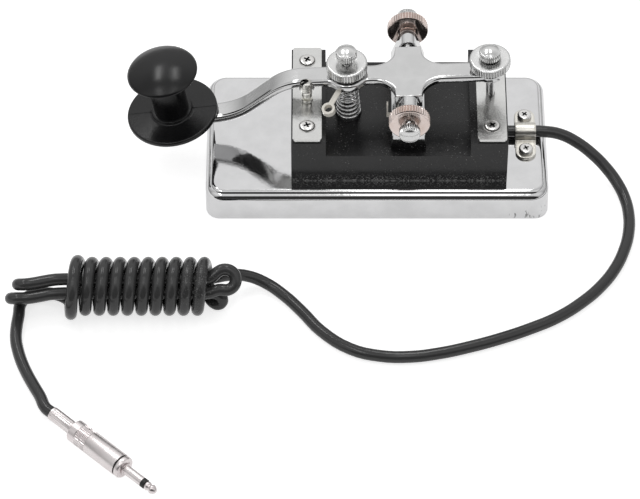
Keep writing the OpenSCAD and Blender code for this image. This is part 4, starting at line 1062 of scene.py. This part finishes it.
def knob_place():
    """The knob's own frame, standing on the lever's seat: its axis leans by the seat's angle."""
    axis = Vector((-math.sin(SEAT_ANGLE), 0, math.cos(SEAT_ANGLE)))
    side = Vector((math.cos(SEAT_ANGLE), 0, math.sin(SEAT_ANGLE)))
    low, _ = reach("knob_skirt", (0, 0, 0), axis)
    left, right = reach("knob_skirt", (0, 0, 0), side)
    return axes(axis * low + side * (left + right) / 2, axis)


def make_knob():
    place = knob_place()
    top = SKIRT_T + COLLAR_H
    bm = bmesh.new()
    rings(bm, [(0, 0), (SKIRT_R - RIM_R, 0)] + arc(SKIRT_R - RIM_R, RIM_R, RIM_R, -90, 0, 4)[1:]
          + arc(SKIRT_R - RIM_R, SKIRT_T - RIM_R, RIM_R, 0, 90, 4)
          + arc(COLLAR_R + 0.9, SKIRT_T + 0.9, 0.9, 270, 190, 4)
          + arc(COLLAR_R - 0.4, top - 0.4, 0.4, 0, 90, 3) + [(STEM_R - 0.4, top), (0, top)], 128)
    for side in (-1, 1):
        rib = bmesh.ops.create_grid(bm, x_segments=2, y_segments=16, size=0.5)["verts"]
        for v in rib:
            x, y = v.co.x, v.co.y + 0.5
            run = STEM_R + 0.6 + (SKIRT_R - RIM_R - STEM_R - 0.4) * y
            collar = COLLAR_H * smooth((COLLAR_R + 1.0 - run) / 1.2)
            v.co = Vector((side * run, x * RIB_W * side, SKIRT_T + collar + (RIB_H if x == 0 else -0.1))) * MM
    dress(finish_mesh(bm, "finger_disc", place), "knob_black", "lever", "knob_skirt", finish="knob_disc")

    rim_z = SKIRT_T + RIM_H
    flare = KNOB_R - 0.8 - STEM_R
    bm = bmesh.new()
    rings(bm, [(0, top), (STEM_R, top), (STEM_R, top + 0.1)]
          + arc(STEM_R + flare, rim_z - 1 - flare, flare, 180, 90, 12)
          + arc(KNOB_R - 0.5, rim_z - 0.5, 0.5, -90, 40, 5)
          + dome(KNOB_R, DOME_H, rim_z, KNOB_R - 0.4, 16), 128)
    dress(finish_mesh(bm, "finger_cap", place, 60), "knob_black", "lever", "finger_knob")

    axis = place.to_3x3() @ Vector((0, 0, 1))
    low, _ = reach("knob_screw", place.translation, axis)
    bm = bmesh.new()
    bm.from_mesh(cross_head("knob_screw", *KNOB_SCREW))
    under = axes(place.translation + axis * (low + KNOB_SCREW[1] * MM), -axis)
    dress(finish_mesh(bm, "knob_screw_cross_head", under), "screw_steel", "lever", "knob_screw",
          inner_shade="painted_recess_shade")


# Spring

WIRE_D = 0.9
SPRING_R1, SPRING_R2, SPRING_CURLS, CURL_STEPS = 4.5, 3.3, 8, 32
SPRING_FOOT = Vector((0.5, -1.6, 0))
CLOSED_PITCH = 1.08


def tube_mesh(name, points, diameter, resolution):
    """A closed tube of round section along points."""
    curve = round_curve(name, diameter, resolution)
    spline = curve.splines.new("POLY")
    spline.points.add(len(points) - 1)
    for knot, p in zip(spline.points, points):
        knot.co = (*p, 1)
    mesh = taken_mesh(add_object(name + "_line", curve))
    mesh.shade_smooth()
    return add_object(name, mesh)


def spring_rise(turn, height):
    """The wire's height after so many turns: the end turns lie closed, and those between share the rest."""
    closed = WIRE_D * CLOSED_PITCH
    open_pitch = (height - 2 * closed) / (SPRING_CURLS - 2)
    return (closed * min(turn, 1) + open_pitch * max(0.0, min(turn, SPRING_CURLS - 1) - 1)
            + closed * max(0.0, turn - SPRING_CURLS + 1))


def make_spring():
    low, high = cad_corners("tension_spring")
    x = joints["tension_screw_turn"]["pos_m"][0] / MM
    points = []
    count = SPRING_CURLS * CURL_STEPS
    for i in range(count + 1):
        s = i / count
        a = 2 * math.pi * SPRING_CURLS * s
        r = SPRING_R1 + (SPRING_R2 - SPRING_R1) * s
        z = low.z + WIRE_D / 2 + spring_rise(SPRING_CURLS * s, high.z - low.z - WIRE_D)
        points.append((Vector((x + r * math.cos(a), r * math.sin(a), z)) + (1 - s) * SPRING_FOOT) * MM)
    spring = dress(tube_mesh("coil_spring", points, WIRE_D, 3), "spring_steel", "root", "tension_spring")
    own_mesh(spring)


# Cable clamp

CLAMP_T, CLAMP_SPAN, CLAMP_BEND = 1.0, 17.0, 0.9
CLAMP_COLUMNS, CLAMP_EDGE = 8, 0.18


def make_clamp():
    """A strip that arches over the lead between two round ears: half its side view, then its mirror."""
    low, high = cad_corners("cable_clamp")
    width = high.x - low.x
    mid_x, mid_y = (low.x + high.x) / 2, (low.y + high.y) / 2
    arch_r = CORD_D / 2 + 0.1 + CLAMP_T / 2
    z0 = low.z + CLAMP_T / 2
    ear = [(-(CLAMP_SPAN / 2 + width / 2 * math.cos(math.radians(a))), z0) for a in range(0, 91, 10)]
    half = (ear + [(-(CLAMP_SPAN / 2) + 2, z0)]
            + arc(-(arch_r + CLAMP_BEND), z0 + CLAMP_BEND, CLAMP_BEND, 270, 360, 5)
            + arc(0, CORD_Z, arch_r, 180, 90, 9))
    bm = bmesh.new()
    rows = []
    for y, z in half + [(-y, z) for y, z in reversed(half[:-1])]:
        out = max(0.0, abs(y) - CLAMP_SPAN / 2)
        half_w = math.sqrt(max(0.0, (width / 2) ** 2 - out ** 2))
        across = [mid_x + half_w * (2 * k / CLAMP_COLUMNS - 1) for k in range(CLAMP_COLUMNS + 1)]
        rows.append([bm.verts.new((x * MM, (mid_y + y) * MM, z * MM)) for x in across])
    for a, b in zip(rows, rows[1:]):
        for k in range(CLAMP_COLUMNS):
            bm.faces.new((a[k], a[k + 1], b[k + 1], b[k]))
    bmesh.ops.remove_doubles(bm, verts=bm.verts, dist=1e-6)
    clamp = finish_mesh(bm, "saddle_clamp", sharp=60)
    modify(clamp, "SOLIDIFY", thickness=CLAMP_T * MM, offset=0)
    modify(clamp, "BEVEL", width=CLAMP_EDGE * MM, segments=2)
    dress(clamp, "bright_chrome", "root", "cable_clamp", finish="clamp_satin")


# Plug: a fluted tail that grips the lead, a barrel with two knurled bands, a seal and the jack

PLUG_TAIL_R, PLUG_TAIL_L, FLUTES, FLUTE_DEPTH = 2.5, 11.0, 14, 0.14
PLUG_SHELL_L, PLUG_SHELL_R = 25.0, 4.2
PLUG_BANDS, BAND_RIDGES, BAND_DEPTH = ((3.4, 5.6), (6.0, 8.2)), 30, 0.32
SEAL_BACK = 2.4
JACK_R, SLEEVE_L, JACK_RING_L, TIP_L = 1.75, 8.7, 1.4, 4.9
TIP = [(0, 0), (1.2, 0), (1.65, 1.1), (1.5, 1.5), (1.28, 1.9), (1.25, 2.2), (1.42, 2.5), (1.7, 3.0),
       (1.66, 3.4), (1.3, 4.1), (0.8, 4.7), (0.4, TIP_L), (0, TIP_L)]


def make_plug():
    place = axes(PLUG_END * MM, PLUG_DIRECTION)
    t, tail, r = PLUG_TAIL_R, PLUG_TAIL_L, PLUG_SHELL_R
    end = tail + PLUG_SHELL_L
    seal = end - SEAL_BACK

    def turned(name, slot, replaced, *parts, sharp=32):
        """A turned piece from parts of (profile, segments, ridges)."""
        bm = bmesh.new()
        for part in parts:
            rings(bm, *part)
        return dress(finish_mesh(bm, name, place, sharp), slot, "root", *replaced)

    bands = []
    for z0, z1 in PLUG_BANDS:
        bands += [(r - 0.12, tail + z0), (r, tail + z0 + 0.15, BAND_DEPTH), (r, tail + z1 - 0.15, BAND_DEPTH),
                  (r - 0.12, tail + z1)]
    barrel = turned(
        "plug_barrel", "plug_nickel", ["plug_shell"],
        ([(CORD_D / 2 - 0.02, 0), (t - 0.12, 0), (t, 0.15), (t, 1.2), (t, 1.5, FLUTE_DEPTH),
          (t, tail - 1.6, FLUTE_DEPTH), (t, tail - 1.3), (t, tail)], 0, FLUTES),
        ([(t - 0.1, tail), (r - 0.35, tail), (r, tail + 0.35), (r, tail + 3.1), (r - 0.12, tail + 3.25),
          (r - 0.12, tail + 3.4)], 128),
        (bands, 0, BAND_RIDGES),
        ([(r - 0.12, tail + 8.2), (r, tail + 8.5), (r, seal - 0.15), (r - 0.12, seal), (r - 0.6, seal)], 128),
        ([(r - 0.6, seal + 0.6), (r - 0.15, seal + 0.6), (r - 0.1, seal + 0.75), (r - 0.1, end - 0.6),
          (r - 0.35, end - 0.15), (r - 0.75, end), (2.6, end), (2.4, end - 0.25), (0, end - 0.25)], 128))
    ring = turned("plug_seal", "ring_black", [], ([
        (r - 0.75, seal - 0.1), (r - 0.32, seal - 0.02), (r - 0.32, seal + 0.62), (r - 0.75, seal + 0.7)], 96))
    z = end + SLEEVE_L
    sleeve = turned("jack_sleeve", "plug_nickel", ["plug_sleeve"], ([
        (0, end - 0.2), (JACK_R + 0.4, end - 0.2), (JACK_R + 0.4, end + 0.5), (JACK_R, end + 0.65), (JACK_R, z),
        (0, z)], 64))
    jack_ring = turned("jack_ring", "ring_black", ["plug_ring"], (rod(JACK_R, z, z + JACK_RING_L), 64))
    z += JACK_RING_L
    tip = turned("jack_tip", "plug_nickel", ["plug_tip"], ([(q, z + up) for q, up in TIP], 64), sharp=50)
    return [barrel, ring, sleeve, jack_ring, tip]


# CAD nodes that keep their shape get a material, and some a softened edge of so many millimetres

SOFT_EDGES = {
    "insulator_block": 0.3, "front_contact_strap": 0.4, "rear_stop_strap": 0.4, "pivot_bracket": 0.45,
    "contact_anvil": 0.12, "pivot_solder_tag": 0.12, "lever_solder_tag": 0.22, "spring_cup": 0.15,
}
OTHER_FINISH = {"front_contact_strap": "strap_satin", "rear_stop_strap": "strap_satin",
                "insulator_block": "block_black"}
SMOOTH_TO, BEVEL_FROM = math.radians(28), math.radians(32)


def shading_group():
    """A modifier group that joins a node's split corners and shades its shallow edges smooth."""
    group = bpy.data.node_groups.new("smooth_shading", "GeometryNodeTree")
    for way in ("INPUT", "OUTPUT"):
        group.interface.new_socket("Geometry", in_out=way, socket_type="NodeSocketGeometry")
    make = group.nodes.new
    merge = make("GeometryNodeMergeByDistance")
    merge.inputs["Distance"].default_value = 1e-6
    drop = make("GeometryNodeRemoveAttribute")
    drop.inputs["Name"].default_value = "custom_normal"
    faces, edges = make("GeometryNodeSetShadeSmooth"), make("GeometryNodeSetShadeSmooth")
    edges.domain = "EDGE"
    small = make("FunctionNodeCompare")
    small.operation = "LESS_THAN"
    small.inputs[1].default_value = SMOOTH_TO
    group.links.new(make("GeometryNodeInputMeshEdgeAngle").outputs[0], small.inputs[0])
    group.links.new(small.outputs[0], edges.inputs["Shade Smooth"])
    chain = [make("NodeGroupInput"), merge, drop, faces, edges, make("NodeGroupOutput")]
    for a, b in zip(chain, chain[1:]):
        group.links.new(a.outputs[0], b.inputs[0])
    return group


def keep_nodes():
    group = shading_group()
    for name, obj in nodes.items():
        slot = obj.data.materials[0].name.split(".")[0]
        obj.data.materials[0] = materials[OTHER_FINISH.get(name, slot)]
        if name in SOFT_EDGES:
            modify(obj, "NODES", node_group=group)
            modify(obj, "BEVEL", width=SOFT_EDGES[name] * MM, segments=3, limit_method="ANGLE",
                   angle_limit=BEVEL_FROM)
            modify(obj, "WEIGHTED_NORMAL", keep_sharp=True)


make_camera()
materials = make_materials()
lead, lead_points = make_cord()
make_world()
make_lamps()
make_floor()
keep_nodes()
make_base()
make_lever()
make_screws()
make_knob()
make_spring()
make_clamp()
make_contact_pin()
plug_pieces = make_plug()

bpy.context.scene.view_settings.view_transform = "Standard"
